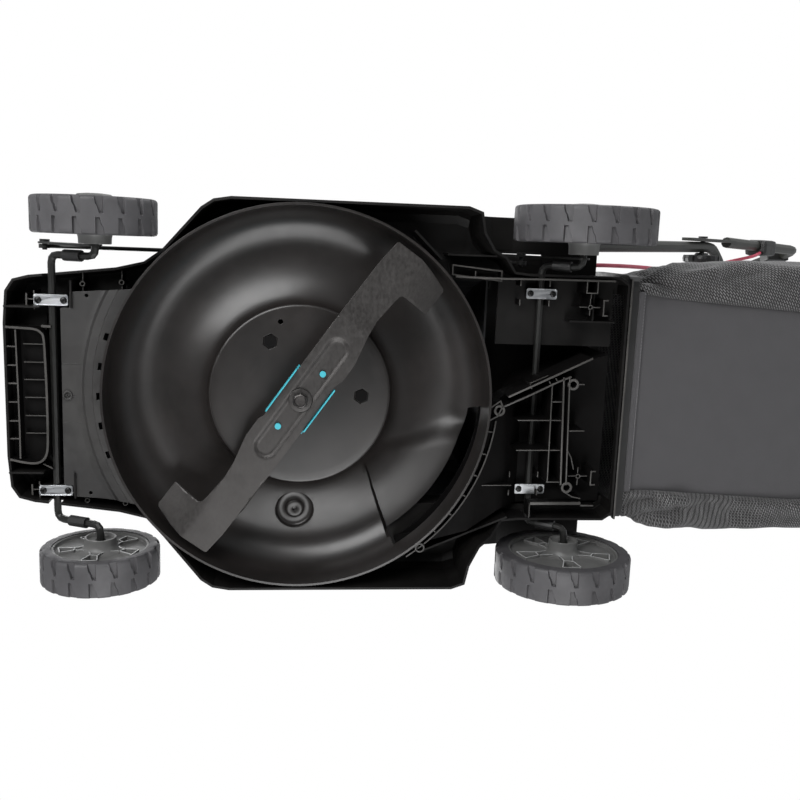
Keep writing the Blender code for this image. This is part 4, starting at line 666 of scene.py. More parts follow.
cup_profile = [(0.0254, 0.1110), (0.0251, 0.1098), (0.0244, 0.1094), (0.0238, 0.1099), (0.0234, 0.1115),
               (0.0228, 0.1135), (0.0212, 0.1146), (0.0180, 0.1150), (0.0125, 0.1150), (0.0118, 0.1146),
               (0.0112, 0.1128), (0.0104, 0.1121), (0.0084, 0.1119), (0.0032, 0.1119), (0.0026, 0.1122),
               (0.0024, 0.1150), (0.0004, 0.1152)]
cup_rings = lathe(cup_profile, 40, upright(CUP_X, CUP_Y))
put("chamber_cup", *loft(cup_rings), chamber_plastic, "deck", smooth=50)
print("pockets cut:", len(pockets))

# %% [markdown]
# ## The blade
# The blade is one strip of hardened steel, pressed with a long shallow channel in the middle that
# stiffens it. Each arm steps a little and ends in a square wing, whose trailing side curls up and
# throws the grass. A strip like this is best cut flat from its outline and then pressed, as the
# factory does it, so the outline is filled with a fine grid and every point is lifted by one function.

# %% Outlines and the sheets that fill them
GRID_MARGIN = 0.3


def tilted(u, v, lean):
    """A flat point turned about nought."""
    return (u * math.cos(lean) - v * math.sin(lean), u * math.sin(lean) + v * math.cos(lean))


def inside(point, outline):
    """Whether a flat point lies inside an outline."""
    hit = False
    x, y = point
    for (ax, ay), (bx, by) in zip(outline, outline[1:] + outline[:1]):
        if (ay > y) != (by > y) and x < (bx - ax) * (y - ay) / (by - ay) + ax:
            hit = not hit
    return hit


def rounded(corners, steps=5):
    """An outline from (x, y, radius) corners, each turned into a small arc."""
    outline = []
    for (ax, ay, _), (x, y, radius), (bx, by, _) in zip(corners[-1:] + corners[:-1], corners,
                                                        corners[1:] + corners[:1]):
        corner = Vector((x, y))
        to_a = (Vector((ax, ay)) - corner)
        to_b = (Vector((bx, by)) - corner)
        if radius <= 0:
            outline.append((x, y))
            continue
        half = to_a.angle(to_b) / 2
        back = min(radius / math.tan(half), to_a.length * 0.49, to_b.length * 0.49)
        start = corner + to_a.normalized() * back
        end = corner + to_b.normalized() * back
        for i in range(steps + 1):
            t = i / steps
            spot = start * (1 - t) ** 2 + corner * 2 * t * (1 - t) + end * t ** 2
            outline.append((spot.x, spot.y))
    return outline


def cut_sheet(outline, step, holes=()):
    """Flat points and triangles that fill an outline, with a regular grid of points inside."""
    flat = [Vector(p) for p in outline]
    edges = [(i, (i + 1) % len(outline)) for i in range(len(outline))]
    for hole in holes:
        first = len(flat)
        flat += [Vector(p) for p in hole]
        edges += [(first + i, first + (i + 1) % len(hole)) for i in range(len(hole))]
    border = np.array([tuple(p) for p in flat])
    low = border.min(axis=0)
    high = border.max(axis=0)
    for x in np.arange(low[0] + step / 2, high[0], step):
        for y in np.arange(low[1] + step / 2, high[1], step):
            if not inside((x, y), outline) or any(inside((x, y), hole) for hole in holes):
                continue
            if np.min(np.hypot(border[:, 0] - x, border[:, 1] - y)) > step * GRID_MARGIN:
                flat.append(Vector((float(x), float(y))))
    spots, _, faces = delaunay_2d_cdt(flat, edges, [], 0, 1e-6)[:3]
    kept = []
    for face in faces:
        middle = sum((spots[i] for i in face), Vector((0, 0))) / len(face)
        if inside(middle, outline) and not any(inside(middle, hole) for hole in holes):
            kept.append(tuple(face))
    return [(p.x, p.y) for p in spots], kept


print("a rounded corner gives", len(rounded([(0, 0, 0.1), (1, 0, 0), (0, 1, 0)])) - 2, "points")

# %% Blade: outline, press, wall
BLADE_TURN = math.atan2(0.5725, 0.8189)
BLADE_LOW = 0.048
BLADE_THICK = 0.0030
BLADE_END = 0.2193
CHANNEL_FRONT, CHANNEL_BACK, CHANNEL_HALF = 0.0745, -0.0695, 0.0145
CHANNEL_DEEP, CHANNEL_RAMP = 0.0019, 0.0042
STEP_AT, STEP_LONG, STEP_HIGH = 0.106, 0.030, 0.0026
WING_AT, WING_LONG, WING_SIDE, WING_WIDE, WING_HIGH = 0.150, 0.02, 0.0140, 0.048, 0.0135
# Along and across one arm, and the corner's radius
ARM = [(0.0400, 0.0243, 0.004), (0.0470, 0.0272, 0.004), (0.0720, 0.0272, 0.015), (0.1080, 0.0197, 0.03),
       (0.1300, 0.0176, 0.03), (0.1600, 0.0205, 0.004), (0.1720, 0.0225, 0.006), (0.1708, 0.0610, 0.0015),
       (0.2070, 0.0620, 0.006), (0.2150, 0.0360, 0.02), (BLADE_END, 0.0180, 0.02),
       (BLADE_END, -0.0185, 0.003), (0.1900, -0.0218, 0.02), (0.1620, -0.0225, 0.02), (0.0900, -0.0240, 0.02)]
blade_outline = rounded(ARM + [(-u, -v, r) for u, v, r in ARM], 4)
blade_flat, blade_faces = cut_sheet(blade_outline, 0.0022)


def pressed(u, v):
    """How far the press pushes a point of the blade up, away from the ground."""
    along = min(max(u, CHANNEL_BACK), CHANNEL_FRONT)
    reach = math.hypot(u - along, v) - CHANNEL_HALF
    lift = CHANNEL_DEEP * ease(-reach / CHANNEL_RAMP)
    arm_u = abs(u)
    arm_v = v if u > 0 else -v
    lift += STEP_HIGH * ease((arm_u - STEP_AT) / STEP_LONG)
    if arm_v > WING_SIDE and arm_u > WING_AT:
        curl = min((arm_v - WING_SIDE) / WING_WIDE, 1.0) ** 1.7
        lift += WING_HIGH * curl * ease((arm_u - WING_AT) / WING_LONG)
    return lift


def blade_spot(u, v, z):
    """A point given along and across the blade, in the frame."""
    x, y = tilted(u, v, BLADE_TURN)
    return Vector((AXIS_X + x, AXIS_Y + y, z))


blade_points = [blade_spot(u, v, BLADE_LOW + pressed(u, v)) for u, v in blade_flat]
blade = put("pressed_blade", blade_points, blade_faces, blade_steel, "rotor", ["blade"], 30)
face_down(blade)
thicken(blade, BLADE_THICK, 40)
print("blade tip to tip, mm:", round(2000 * BLADE_END, 1))

# %% [markdown]
# ### The blade's bolt
# A hexagon bolt holds the blade. Its head is chamfered to a round face when it is turned, and that
# ring is what one sees first. So the head is built from rings that start as a hexagon and end
# round, each point being the nearer of the hexagon's side and the chamfer's cone.

# %% Bolt head
HEAD_FLAT = 0.0083
HEAD_CONE = [(0.0478, 0.013), (0.0430, 0.0105), (0.0418, 0.0092), (0.0408, 0.0079), (0.0405, 0.0072),
             (0.0407, 0.0066), (0.0419, 0.0060), (0.0420, 0.0004)]
WASHER = [(0.0040, 0.0482), (0.0138, 0.0482), (0.0142, 0.0478), (0.0140, 0.0472), (0.0134, 0.0470),
          (0.0060, 0.0470)]
bolt_rings = []
for height, cone in HEAD_CONE:
    ring = []
    for i in range(60):
        angle = 2 * math.pi * i / 60
        side = HEAD_FLAT / math.cos((angle + math.pi / 6) % (math.pi / 3) - math.pi / 6)
        reach = min(side, cone)
        ring.append(blade_spot(reach * math.cos(angle), reach * math.sin(angle), height))
    bolt_rings.append(ring)
put("blade_bolt_head", *loft(bolt_rings), bolt_steel, "rotor", smooth=25)
put("blade_washer", *loft(lathe(WASHER, 40, blade_spot)), blade_steel, "rotor", ["blade_bolt"], 30)
print("bolt across flats, mm:", round(2000 * HEAD_FLAT, 1))

# %% [markdown]
# ## The wheels
# Each wheel is a soft tread over a hard hub. The tread has two rows of blocks, set a part of a block
# apart, and every groove is a wedge: one side runs straight across, the other slants with a kink. Cutting
# forty wedges with solids would be slow and leave ragged shading, so the grid's columns are laid along
# the wedges' own sides instead, and the points between them are lowered to the root of the tread.

# %% Tread: a grid laid along its grooves
TREAD_ROOT = 0.0036
BORE_SHARE = 0.815
GROOVE_STRAIGHT = 0.36
GROOVE_SLANT = [(0.0, -0.05), (0.42, 0.02), (0.55, 0.10), (0.86, 0.17), (1.0, 0.18)]


def tread_half(radius, bore, width, blocks, shift, far):
    """Rings of one half of a tyre, as (angle, radius, distance from the tyre's inner face)."""
    rows = [(0.0, bore, 0), (0.0, radius - 0.0110, 0), (0.0, radius - 0.0098, 0), (0.0, radius - 0.0046, 1)]
    rows += [(0.0006, radius - 0.0022, 1), (0.0020, radius - 0.0006, 1)]
    half = width / 2
    for share in (0.18, 0.32, 0.42, 0.48, 0.55, 0.66, 0.76, 0.86):
        rows.append((half * share, radius, 1))
    rows += [(half * 0.90, radius, 0), (half, radius, 0)]
    rings = []
    for depth, reach, grooved in rows:
        slanted, straight = between(GROOVE_SLANT, depth / half), GROOVE_STRAIGHT
        columns = [(slanted, 0), (slanted + 0.025, 1), ((slanted + straight) / 2, 1), (straight - 0.025, 1),
                   (straight, 0)]
        columns += [(straight + (1 + slanted - straight) * i / 9, 0) for i in range(1, 9)]
        ring = []
        for block in range(blocks):
            for place, low in columns:
                angle = 2 * math.pi * (block + place + shift) / blocks
                lowered = min(reach, radius - TREAD_ROOT) if low and grooved else reach
                ring.append((angle if not far else -angle, lowered, width - depth if far else depth))
        rings.append(ring)
    return rings


def on_wheel(spot, side, inner_x, centre_y, centre_z):
    """A (angle, radius, depth) spot of a wheel, in the frame."""
    angle, reach, depth = spot
    angle *= -side
    return Vector((side * (inner_x + depth), centre_y + reach * math.cos(angle),
                   centre_z + reach * math.sin(angle)))


# An axle's wheels: place behind the front axle, radius, inner face, width, blocks, length of the boss
AXLES = {"front": (0.0, 0.0700, 0.1860, 0.0420, 18, 0.0106),
         "rear": (0.5832, 0.0875, 0.1974, 0.0437, 20, 0.0138)}
WHEELS = {axle + "_" + name: (side, *facts) for axle, facts in AXLES.items()
          for name, side in (("left", 1), ("right", -1))}
for label, (side, wheel_y, radius, inner_x, width, blocks, _) in WHEELS.items():
    bore = radius * BORE_SHARE
    halves = []
    for far, shift in ((False, 0.5), (True, 0.12)):
        rings = tread_half(radius, bore, width, blocks, shift, far)
        placed = [[on_wheel(spot, side, inner_x, wheel_y + BACK, radius) for spot in ring] for ring in rings]
        halves.append(loft(placed))
    bore_ring = [[on_wheel((2 * math.pi * i / 72, bore, depth), side, inner_x, wheel_y + BACK, radius)
                  for i in range(72)] for depth in (0.0, width)]
    halves.append(loft(bore_ring))
    tyre = solid("tread_" + label, *merge(halves), tread_plastic, "wheel_" + label, ["tyre_" + label], 32)
print("tread faces:", len(tyre.data.polygons))

# %% [markdown]
# ### Hubs
# A hub is moulded with a long boss that runs on the axle and flares into a dished web. Five frames
# stand on the web round five windows, and two thin ribs tie each frame to the boss. The round part is
# a profile turned about the axle. The windows are left out of the sheet that makes the web, and the
# ribs are thin walls that follow a line and stand on it. Only their edges catch the light, so those
# edges are painted a pale grey as a painted highlight, and their flanks keep the web's own grey.

# %% Thin walls with soft edges and painted highlights on their edges
FLANK_BELOW = 0.35


def wall_line(line, thickness, low, high, closed=False):
    """A thin wall that follows a flat line: its points as (a, b, depth) and its faces."""
    spots = [Vector(p) for p in line]
    count = len(spots)
    sides = []
    for i, spot in enumerate(spots):
        before = spots[(i - 1) % count] if closed or i else spots[i]
        after = spots[(i + 1) % count] if closed or i < count - 1 else spots[i]
        first = (spot - before).normalized() if (spot - before).length > 1e-9 else (after - spot).normalized()
        second = (after - spot).normalized() if (after - spot).length > 1e-9 else first
        middle = (first + second).normalized()
        lean = max(middle.dot(first), 0.35)
        sides.append(Vector((-middle.y, middle.x)) * thickness / 2 / lean)
    rings = []
    for spot, reach in zip(spots, sides):
        a = spot + reach
        b = spot - reach
        rings.append([Vector((a.x, a.y, low)), Vector((b.x, b.y, low)), Vector((b.x, b.y, high)),
                      Vector((a.x, a.y, high))])
    if closed:
        rings.append(rings[0])
        return loft(rings)
    return loft(rings, (True, True))


def soften(thing, width, from_degrees):
    """Rounds every edge that is sharper than this."""
    edges = thing.modifiers.new("round", "BEVEL")
    edges.width = width
    edges.segments = 2
    edges.limit_method = "ANGLE"
    edges.angle_limit = math.radians(from_degrees)
    bake(thing, 35)


def dark_flanks(thing, flank, way):
    """Gives the flank finish to every face that doesn't face the given way, so that only the edges keep the
    piece's painted highlight.
    """
    thing.data.materials.append(flank)
    for face in thing.data.polygons:
        if face.normal.dot(Vector(way)) < FLANK_BELOW:
            face.material_index = 1


print("a straight wall has", len(wall_line([(0, 0), (1, 0)], 0.1, 0, 1)[1]), "faces")

# %% Hub: turned dish, windows, ribs
WEB = 0.0056
WEB_START = 0.0300
SPOKE_START = 0.0192
WINDOWS = 5


def hub_profile(radius, width, boss):
    """Radius and depth of the boss and its flare, of the rim, and of the outer face."""
    rim = radius * BORE_SHARE - 0.0004
    flare = [(0.0062, 0.0120), (0.0062, -boss + 0.004), (0.0150, -boss + 0.0042), (0.0162, -boss + 0.0006),
             (0.0168, -boss), (0.0181, -boss), (0.0185, -boss + 0.0005), (0.0186, -boss + 0.003),
             (0.0189, -0.0030), (0.0200, 0.0010), (0.0222, 0.0036), (0.0262, 0.0051), (WEB_START, WEB)]
    edge = [(rim - 0.0045, WEB), (rim - 0.0032, WEB - 0.0008), (rim - 0.0028, 0.0016), (rim - 0.0022, 0.0010),
            (rim, 0.0010)]
    outer = [(rim, width - 0.0012), (rim - 0.0026, width - 0.0012), (rim - 0.0034, width - 0.0020),
             (rim - 0.0042, width - 0.0060), (rim - 0.0060, width - 0.0085), (rim * 0.70, width - 0.0080),
             (rim * 0.55, width - 0.0060), (0.0215, width - 0.0010), (0.0200, width + 0.0022),
             (0.0185, width + 0.0034), (0.0100, width + 0.0043), (0.0002, width + 0.0046)]
    return flare, edge + outer


for label, (side, wheel_y, radius, inner_x, width, blocks, boss) in WHEELS.items():
    rim = radius * BORE_SHARE
    scale = radius / AXLES["rear"][1]
    inner_r, outer_r = 0.0365 * scale, rim - 0.0100 * scale

    def place_spot(u, v, depth, side=side, inner_x=inner_x, y=wheel_y + BACK, z=radius):
        """A point given from the wheel's middle and from the inner face."""
        return Vector((side * (inner_x + depth), y + u, z + v))

    flare, edge = hub_profile(radius, width, boss)
    frames = []
    windows = []
    for i in range(WINDOWS):
        lean = math.radians(90 + 360 // WINDOWS * i + (9 if side > 0 else 31))
        corners = [(inner_r, -0.0052 * scale, 0.0014), (inner_r + 0.002, 0.0066 * scale, 0.0014),
                   (outer_r - 0.0020, 0.0120 * scale, 0.0014), (outer_r, -0.0115 * scale, 0.0014)]
        frame_line = [tilted(u, v, lean) for u, v in rounded(corners, 3)]
        windows.append(frame_line)
        frames.append(wall_line(frame_line, 0.0013, WEB - 0.0034, WEB + 0.0060, True))
        for start_v, end_v in ((-0.0085, -0.0052 * scale), (0.0092, 0.0066 * scale)):
            spoke = []
            for share in (0.0, 0.15, 0.35, 0.6, 1.0):
                u = SPOKE_START + (inner_r - SPOKE_START) * share
                v = end_v + (start_v - end_v) * (1 - share) ** 2
                spoke.append(tilted(u, v, lean))
            frames.append(wall_line(spoke, 0.0012, WEB - 0.0034, WEB + 0.0010))
    web_flat, web_faces = cut_sheet(circle(rim - 0.0049, 80), 0.0045, [circle(WEB_START, 80)] + windows)
    web = ([place_spot(x, y, WEB) for x, y in web_flat], web_faces)
    dish = merge([loft(lathe(flare, 80, place_spot)), loft(lathe(edge, 80, place_spot)), web])
    put("hub_dish_" + label, *dish, hub_plastic, "wheel_" + label, ["hub_" + label], 35)
    points, faces = merge(frames)
    # The ribs' outer edges take the pale painted highlight, and their flanks the hub's own grey.
    hub_ribs = solid("hub_ribs_" + label, [place_spot(*p) for p in points], faces, hub_rib_plastic,
                     "wheel_" + label, smooth=30)
    soften(hub_ribs, 0.0003, 30)
    dark_flanks(hub_ribs, hub_plastic, (-side, 0, 0))
print("hub ribs:", len(hub_ribs.data.polygons), "faces")

# %% [markdown]
# ## The grass bag
# The bag hangs on a plastic mouth frame. Its floor is a coated panel, bound with tape along the front
# edge, and its sides and top are one piece of open mesh that is cut too full, so it gathers where it is
# sewn on and rolls over the panel's long seams. A simulation could find such folds, but not these ones.
# So the mesh is a grid laid over its cross sections, and its folds are drawn as a few long
# ridges plus puckers that die away from each seam.

# %% Bag: the section along its length
BAG_FRONT = 0.652 + BACK
BAG_START, BAG_END = 0.008, 0.453
# Distance behind the mouth, half width, floor and top
BAG = [(0.008, 0.158, 0.1035, 0.2560), (0.040, 0.165, 0.1050, 0.2570), (0.070, 0.170, 0.1060, 0.2590),
       (0.100, 0.174, 0.1070, 0.2640), (0.130, 0.1765, 0.1085, 0.2960), (0.165, 0.178, 0.1100, 0.3380),
       (0.210, 0.1785, 0.1120, 0.3560), (0.250, 0.178, 0.1140, 0.3660), (0.300, 0.1775, 0.1170, 0.3710),
       (0.350, 0.176, 0.1200, 0.3720), (0.395, 0.172, 0.1230, 0.3640), (0.425, 0.168, 0.1260, 0.3520),
       (0.443, 0.159, 0.1330, 0.3340), (0.453, 0.150, 0.1400, 0.3100)]
PANEL_HALF = [(0.0, 0.1300), (0.06, 0.1270), (0.453, 0.1270)]
PANEL_SHIFT = [(0.0, 0.0095), (0.10, 0.0020), (0.25, -0.0080), (0.453, -0.0080)]


def grid_faces(rows, columns):
    """Faces of a grid of points that is listed row after row."""
    return [(r * columns + c, r * columns + c + 1, (r + 1) * columns + c + 1, (r + 1) * columns + c)
            for r in range(rows - 1) for c in range(columns - 1)]


def curve_point(a, b, c, d, t):
    """A point between b and c on the Catmull-Rom curve through four points."""
    return 0.5 * (2 * b + (c - a) * t + (2 * a - 5 * b + 4 * c - d) * t ** 2
                  + (3 * b - a - 3 * c + d) * t ** 3)


def bag_at(distance):
    """Half width, floor and top of the bag at a distance behind its mouth."""
    keys = [row[0] for row in BAG]
    return [float(np.interp(distance, keys, [row[i] for row in BAG])) for i in (1, 2, 3)]


def mesh_section(distance, count):
    """One ring of the mesh from the panel's left seam over the top to its right seam, as (x, z)."""
    half_width, low, high = bag_at(distance)
    height = high - low
    seam = between(PANEL_HALF, distance)
    shift = between(PANEL_SHIFT, distance)
    knots = []
    for side in (1, -1):
        roll = 0.0085 if side < 0 else 0.0060
        roll *= ease(distance / 0.05)
        seam_x = side * seam + shift
        wide = half_width + 0.004 * ease(distance / 0.06)
        knots.append([(seam_x, low + 0.0015), (seam_x + side * 0.004, low - roll * 0.75),
                      (seam_x + side * 0.014, low - roll), (side * (wide * 0.955), low - roll * 0.15),
                      (side * wide, low + height * 0.17), (side * wide * 0.985, low + height * 0.42),
                      (side * wide * 0.945, low + height * 0.70), (side * wide * 0.87, low + height * 0.90),
                      (side * wide * 0.68, low + height * 0.985), (side * wide * 0.30, high)])
    line = [Vector((x, 0, z)) for x, z in knots[0] + knots[1][::-1]]
    fine = []
    for i in range(len(line) - 1):
        near = (line[max(i - 1, 0)], line[i], line[i + 1], line[min(i + 2, len(line) - 1)])
        fine += [curve_point(*near, step / 6) for step in range(6)]
    fine.append(line[-1])
    lengths = [0.0]
    for a, b in zip(fine, fine[1:]):
        lengths.append(lengths[-1] + (b - a).length)
    section = []
    for i in range(count):
        want = lengths[-1] * i / (count - 1)
        section.append((float(np.interp(want, lengths, [p.x for p in fine])),
                        float(np.interp(want, lengths, [p.z for p in fine]))))
    return section, lengths[-1]


FOLDS = [
    # (start distance, start share round, end distance, end share round, height, half width)
    (0.014, 0.030, 0.115, 0.092, 0.0065, 0.011), (0.014, 0.060, 0.085, 0.150, 0.0050, 0.010),
    (0.050, 0.012, 0.200, 0.075, 0.0055, 0.013), (0.120, 0.060, 0.300, 0.040, 0.0045, 0.016),
    (0.012, 0.100, 0.070, 0.190, 0.0045, 0.010), (0.200, 0.100, 0.400, 0.060, 0.0040, 0.018),
    (0.014, 0.975, 0.120, 0.925, 0.0055, 0.012), (0.030, 0.940, 0.200, 0.968, 0.0045, 0.010),
    (0.100, 0.985, 0.300, 0.950, 0.0050, 0.014), (0.160, 0.930, 0.330, 0.905, 0.0050, 0.016),
    (0.012, 0.900, 0.090, 0.830, 0.0050, 0.012), (0.240, 0.965, 0.420, 0.940, 0.0040, 0.013),
    (0.150, 0.330, 0.260, 0.420, 0.0045, 0.020), (0.170, 0.640, 0.300, 0.560, 0.0045, 0.020),
    (0.110, 0.380, 0.130, 0.620, 0.0035, 0.012), (0.250, 0.240, 0.420, 0.300, 0.0040, 0.018),
    (0.240, 0.760, 0.410, 0.700, 0.0040, 0.018), (0.010, 0.955, 0.075, 0.985, 0.0058, 0.007),
    (0.040, 0.985, 0.110, 0.950, 0.0058, 0.008), (0.085, 0.955, 0.150, 0.985, 0.0050, 0.008),
    (0.020, 0.925, 0.090, 0.945, 0.0055, 0.008), (0.010, 0.045, 0.060, 0.020, 0.0058, 0.007),
    (0.040, 0.030, 0.110, 0.055, 0.0058, 0.009), (0.020, 0.075, 0.060, 0.115, 0.0058, 0.008),
]
AROUND, ALONG = 190, 110
bag_rows = []
bag_flat = []
for row in range(ALONG):
    distance = BAG_START + (BAG_END - BAG_START) * row / (ALONG - 1)
    section, around = mesh_section(distance, AROUND)
    bag_rows.append([Vector((x, BAG_FRONT + distance, z)) for x, z in section])
    bag_flat.append([(around * i / (AROUND - 1), distance, around) for i in range(AROUND)])


def fold_height(distance, share, around):
    """How far the folds and puckers stand out at one place of the mesh."""
    stand = 0.0
    for d0, s0, d1, s1, height, half in FOLDS:
        px, py = distance, share * around
        ax, ay, bx, by = d0, s0 * around, d1, s1 * around
        t = ((px - ax) * (bx - ax) + (py - ay) * (by - ay)) / ((bx - ax) ** 2 + (by - ay) ** 2)
        clipped = min(max(t, 0.0), 1.0)
        off = math.hypot(px - ax - (bx - ax) * clipped, py - ay - (by - ay) * clipped)
        fade = ease(min(t, 1 - t) * 5 + 0.35) if 0 < t < 1 else ease(0.35 - max(-t, t - 1) * 4)
        stand += height * fade * math.exp(-(off / half) ** 2)
        stand -= 0.35 * height * fade * math.exp(-((off - 1.8 * half) / half) ** 2)
    from_seam = min(share, 1 - share) * around
    pucker = math.sin(distance * 2 * math.pi / 0.013 + 2.5 * math.sin(distance * 31))
    stand += 0.0009 * pucker * math.exp(-from_seam / 0.012)
    gather = math.sin(share * around * 2 * math.pi / 0.019 + 1.7 * math.sin(share * 23))
    stand += 0.0018 * gather * math.exp(-(distance - BAG_START) / 0.035)
    soft = noise.noise(Vector((distance * 14, share * around * 12, 3.1)))
    return stand + 0.0030 * soft * ease(from_seam / 0.03)


bag_points = []
for row in range(ALONG):
    for i in range(AROUND):
        spot = bag_rows[row][i]
        ahead = bag_rows[min(row + 1, ALONG - 1)][i] - bag_rows[max(row - 1, 0)][i]
        side_way = bag_rows[row][min(i + 1, AROUND - 1)] - bag_rows[row][max(i - 1, 0)]
        normal = side_way.cross(ahead).normalized()
        _, distance, around = bag_flat[row][i]
        edge = ease(min(i, AROUND - 1 - i) / 3) * ease(row / 2) * ease((ALONG - 1 - row) / 6)
        bag_points.append(spot + normal * fold_height(distance, i / (AROUND - 1), around) * edge)
last = bag_rows[-1]
END_RINGS = 8
end_rings = []
for k in range(1, END_RINGS + 1):
    share = k / END_RINGS
    ring = []
    for i in range(AROUND):
        seat = last[0].lerp(last[-1], i / (AROUND - 1))
        pulled = last[i].lerp(seat, share)
        pulled.y += 0.006 * math.sin(share * math.pi) * ease(min(i, AROUND - 1 - i) / 30)
        ring.append(pulled)
    end_rings.append(ring)
    bag_points += ring
bag_faces = grid_faces(ALONG + END_RINGS, AROUND)
print("mesh points:", len(bag_points))

# %% [markdown]
# ### Mesh, panel and tape
# Both cloths carry their own flat metres, so the threads keep their spacing however the cloth is bent.
# The panel sags a little between its seams, and a folded tape is sewn along its front edge with a
# line of stitches.

# %% Sew the bag together


def flat_map(thing, coordinates):
    """Gives a cloth its flat metres as a map, one pair for each point."""
    layer = thing.data.uv_layers.new(name="flat")
    for loop in thing.data.loops:
        layer.data[loop.index].uv = coordinates[loop.vertex_index]


mesh_flat = [(a, d) for row in bag_flat for a, d, _ in row]
for k in range(END_RINGS):
    mesh_flat += [(a, d + (end_rings[k][i] - last[i]).length) for i, (a, d, _) in enumerate(bag_flat[-1])]
bag_cloth = put("bag_mesh_cloth", bag_points, bag_faces, mesh_cloth, "grass_bag", ["bag_mesh"], 180,
                "bag_mesh_cloth")
flat_map(bag_cloth, mesh_flat)

panel_points = []
panel_flat = []
PANEL_ROWS, PANEL_COLUMNS = 60, 36
PANEL_START, PANEL_END = 0.0085, 0.4526
for row in range(PANEL_ROWS):
    distance = PANEL_START + (PANEL_END - PANEL_START) * row / (PANEL_ROWS - 1)
    _, low, _ = bag_at(distance)
    seam = between(PANEL_HALF, distance)
    shift = between(PANEL_SHIFT, distance)
    for column in range(PANEL_COLUMNS):
        across = -1 + 2 * column / (PANEL_COLUMNS - 1)
        sag = 0.0022 * (1 - across ** 2) * ease(distance / 0.1)
        ripple = 0.0006 * noise.noise(Vector((across * 3, distance * 9, 0.4)))
        edge_roll = 0.0030 * max(abs(across) - 0.90, 0.0) / 0.10
        panel_points.append((across * (seam + 0.0015) + shift, BAG_FRONT + distance,
                             low - sag + ripple + edge_roll))
        panel_flat.append((across * seam, distance))
panel_faces = [(a, d, c, b) for a, b, c, d in grid_faces(PANEL_ROWS, PANEL_COLUMNS)]
panel = put("bag_floor_panel", panel_points, panel_faces, panel_cloth, "grass_bag", ["bag_base"], 180,
            "bag_fabric")
flat_map(panel, panel_flat)

TAPE = [(0.0125, 0.1040), (0.0125, 0.1008), (0.0140, 0.0998), (0.0190, 0.0997), (0.0212, 0.1006),
        (0.0214, 0.1022), (0.0190, 0.1028), (0.0140, 0.1030)]
TAPE_HALF, TAPE_SHIFT = 0.1310, 0.0090
tape_rings = []
for share in np.linspace(-1, 1, 60):
    x = float(share) * TAPE_HALF + TAPE_SHIFT
    wave = 0.0003 * math.sin(x * 700)
    tape_rings.append([Vector((x, BAG_FRONT + d, z + wave)) for d, z in TAPE])
tape = put("bag_front_tape", *loft(tape_rings, (True, True)), tape_cloth, "grass_bag", smooth=50)
flat_map(tape, [(v.co.x, v.co.y) for v in tape.data.vertices])
STITCHES, STITCH_STEP, FIRST_STITCH = 64, 0.0041, -0.118
stitches = []
for i in range(STITCHES):
    x = FIRST_STITCH + STITCH_STEP * i
    ring_line = []
    for share in (0.0, 0.25, 0.5, 0.75, 1.0):
        spot = Vector((x + 0.0026 * share, BAG_FRONT + 0.0195, 0.0997 - 0.0004 * math.sin(share * math.pi)))
        ring_line.append([spot + Vector((0, 0.0003 * math.cos(a), 0.0003 * math.sin(a)))
                          for a in (0.5, 1.8, 3.1, 4.4, 5.7)])
    stitches.append(loft(ring_line, (True, True)))
seam_stitches = put("bag_tape_stitches", *merge(stitches), thread, "grass_bag", smooth=60)

# %% [markdown]
# ## The discharge chute and the ribs under the rear deck
# Behind the chamber a tunnel climbs over the rear axle to the bag. The deck round it is a thin black
# shell, stiffened by ribs: a comb along the ring, a slanting double wall, a ladder, and small bosses
# with crossed ribs for the screws from above. All of these are thin moulded walls, so each is a line
# with a thickness, given by the points where the photograph shows its lower edge.

# %% Tunnel: a loft through its cross sections


def flat_line(start, end, count):
    """Evenly spaced flat points from one to the other, given in the mower's own measures."""
    return [(start[0] + (end[0] - start[0]) * i / (count - 1),
             start[1] + BACK + (end[1] - start[1]) * i / (count - 1)) for i in range(count)]


def box_ring(line, low, high):
    """A ring that runs out along a line at its low height and back at its high one."""
    return [Vector((x, y, low)) for x, y in line] + [Vector((x, y, high)) for x, y in line[::-1]]


ACROSS = 16
STEPS = 5
RING_OUT = 0.2303
TUNNEL_WALL = 0.0022
# Sections from the ring to the bag's mouth: line across, low and high
TUNNEL = [
    ([around_axis(RING_OUT + 0.0010, 93 + 54 * i / (ACROSS - 1)) for i in range(ACROSS)], 0.078, 0.1235),
    (flat_line((-0.002, 0.480), (-0.170, 0.452), ACROSS), 0.080, 0.1243),
    (flat_line((0.008, 0.499), (-0.1445, 0.499), ACROSS), 0.096, 0.1300),
    (flat_line((0.020, 0.5245), (-0.1435, 0.5245), ACROSS), 0.1235, 0.190),
    (flat_line((0.056, 0.6375), (-0.1415, 0.6375), ACROSS), 0.1235, 0.215),
]
tunnel_rings = []
for near, far in zip(TUNNEL, TUNNEL[1:]):
    for step in range(STEPS):
        tunnel_rings.append([a.lerp(b, step / STEPS) for a, b in zip(box_ring(*near), box_ring(*far))])
tunnel_rings.append(box_ring(*TUNNEL[-1]))
# The tunnel takes the painted-shade black, which darkens its inside as shade would.
tunnel = solid("discharge_tunnel", *loft(tunnel_rings), deep_plastic, "deck", ["discharge_chute"], 28)
thicken(tunnel, TUNNEL_WALL, 28)
print("tunnel rings:", len(tunnel_rings))

# %% Ribs: walls that follow a line
RIB_FOOT = 0.1235
REAR_TOP = 0.1300


def rib(points, thickness=0.0018, low=0.078, high=RIB_FOOT, closed=False):
    """A thin upright wall under the deck, from its flat points in the mower's own measures."""
    return wall_line([(x, y + BACK) for x, y in points], thickness, low, high, closed)


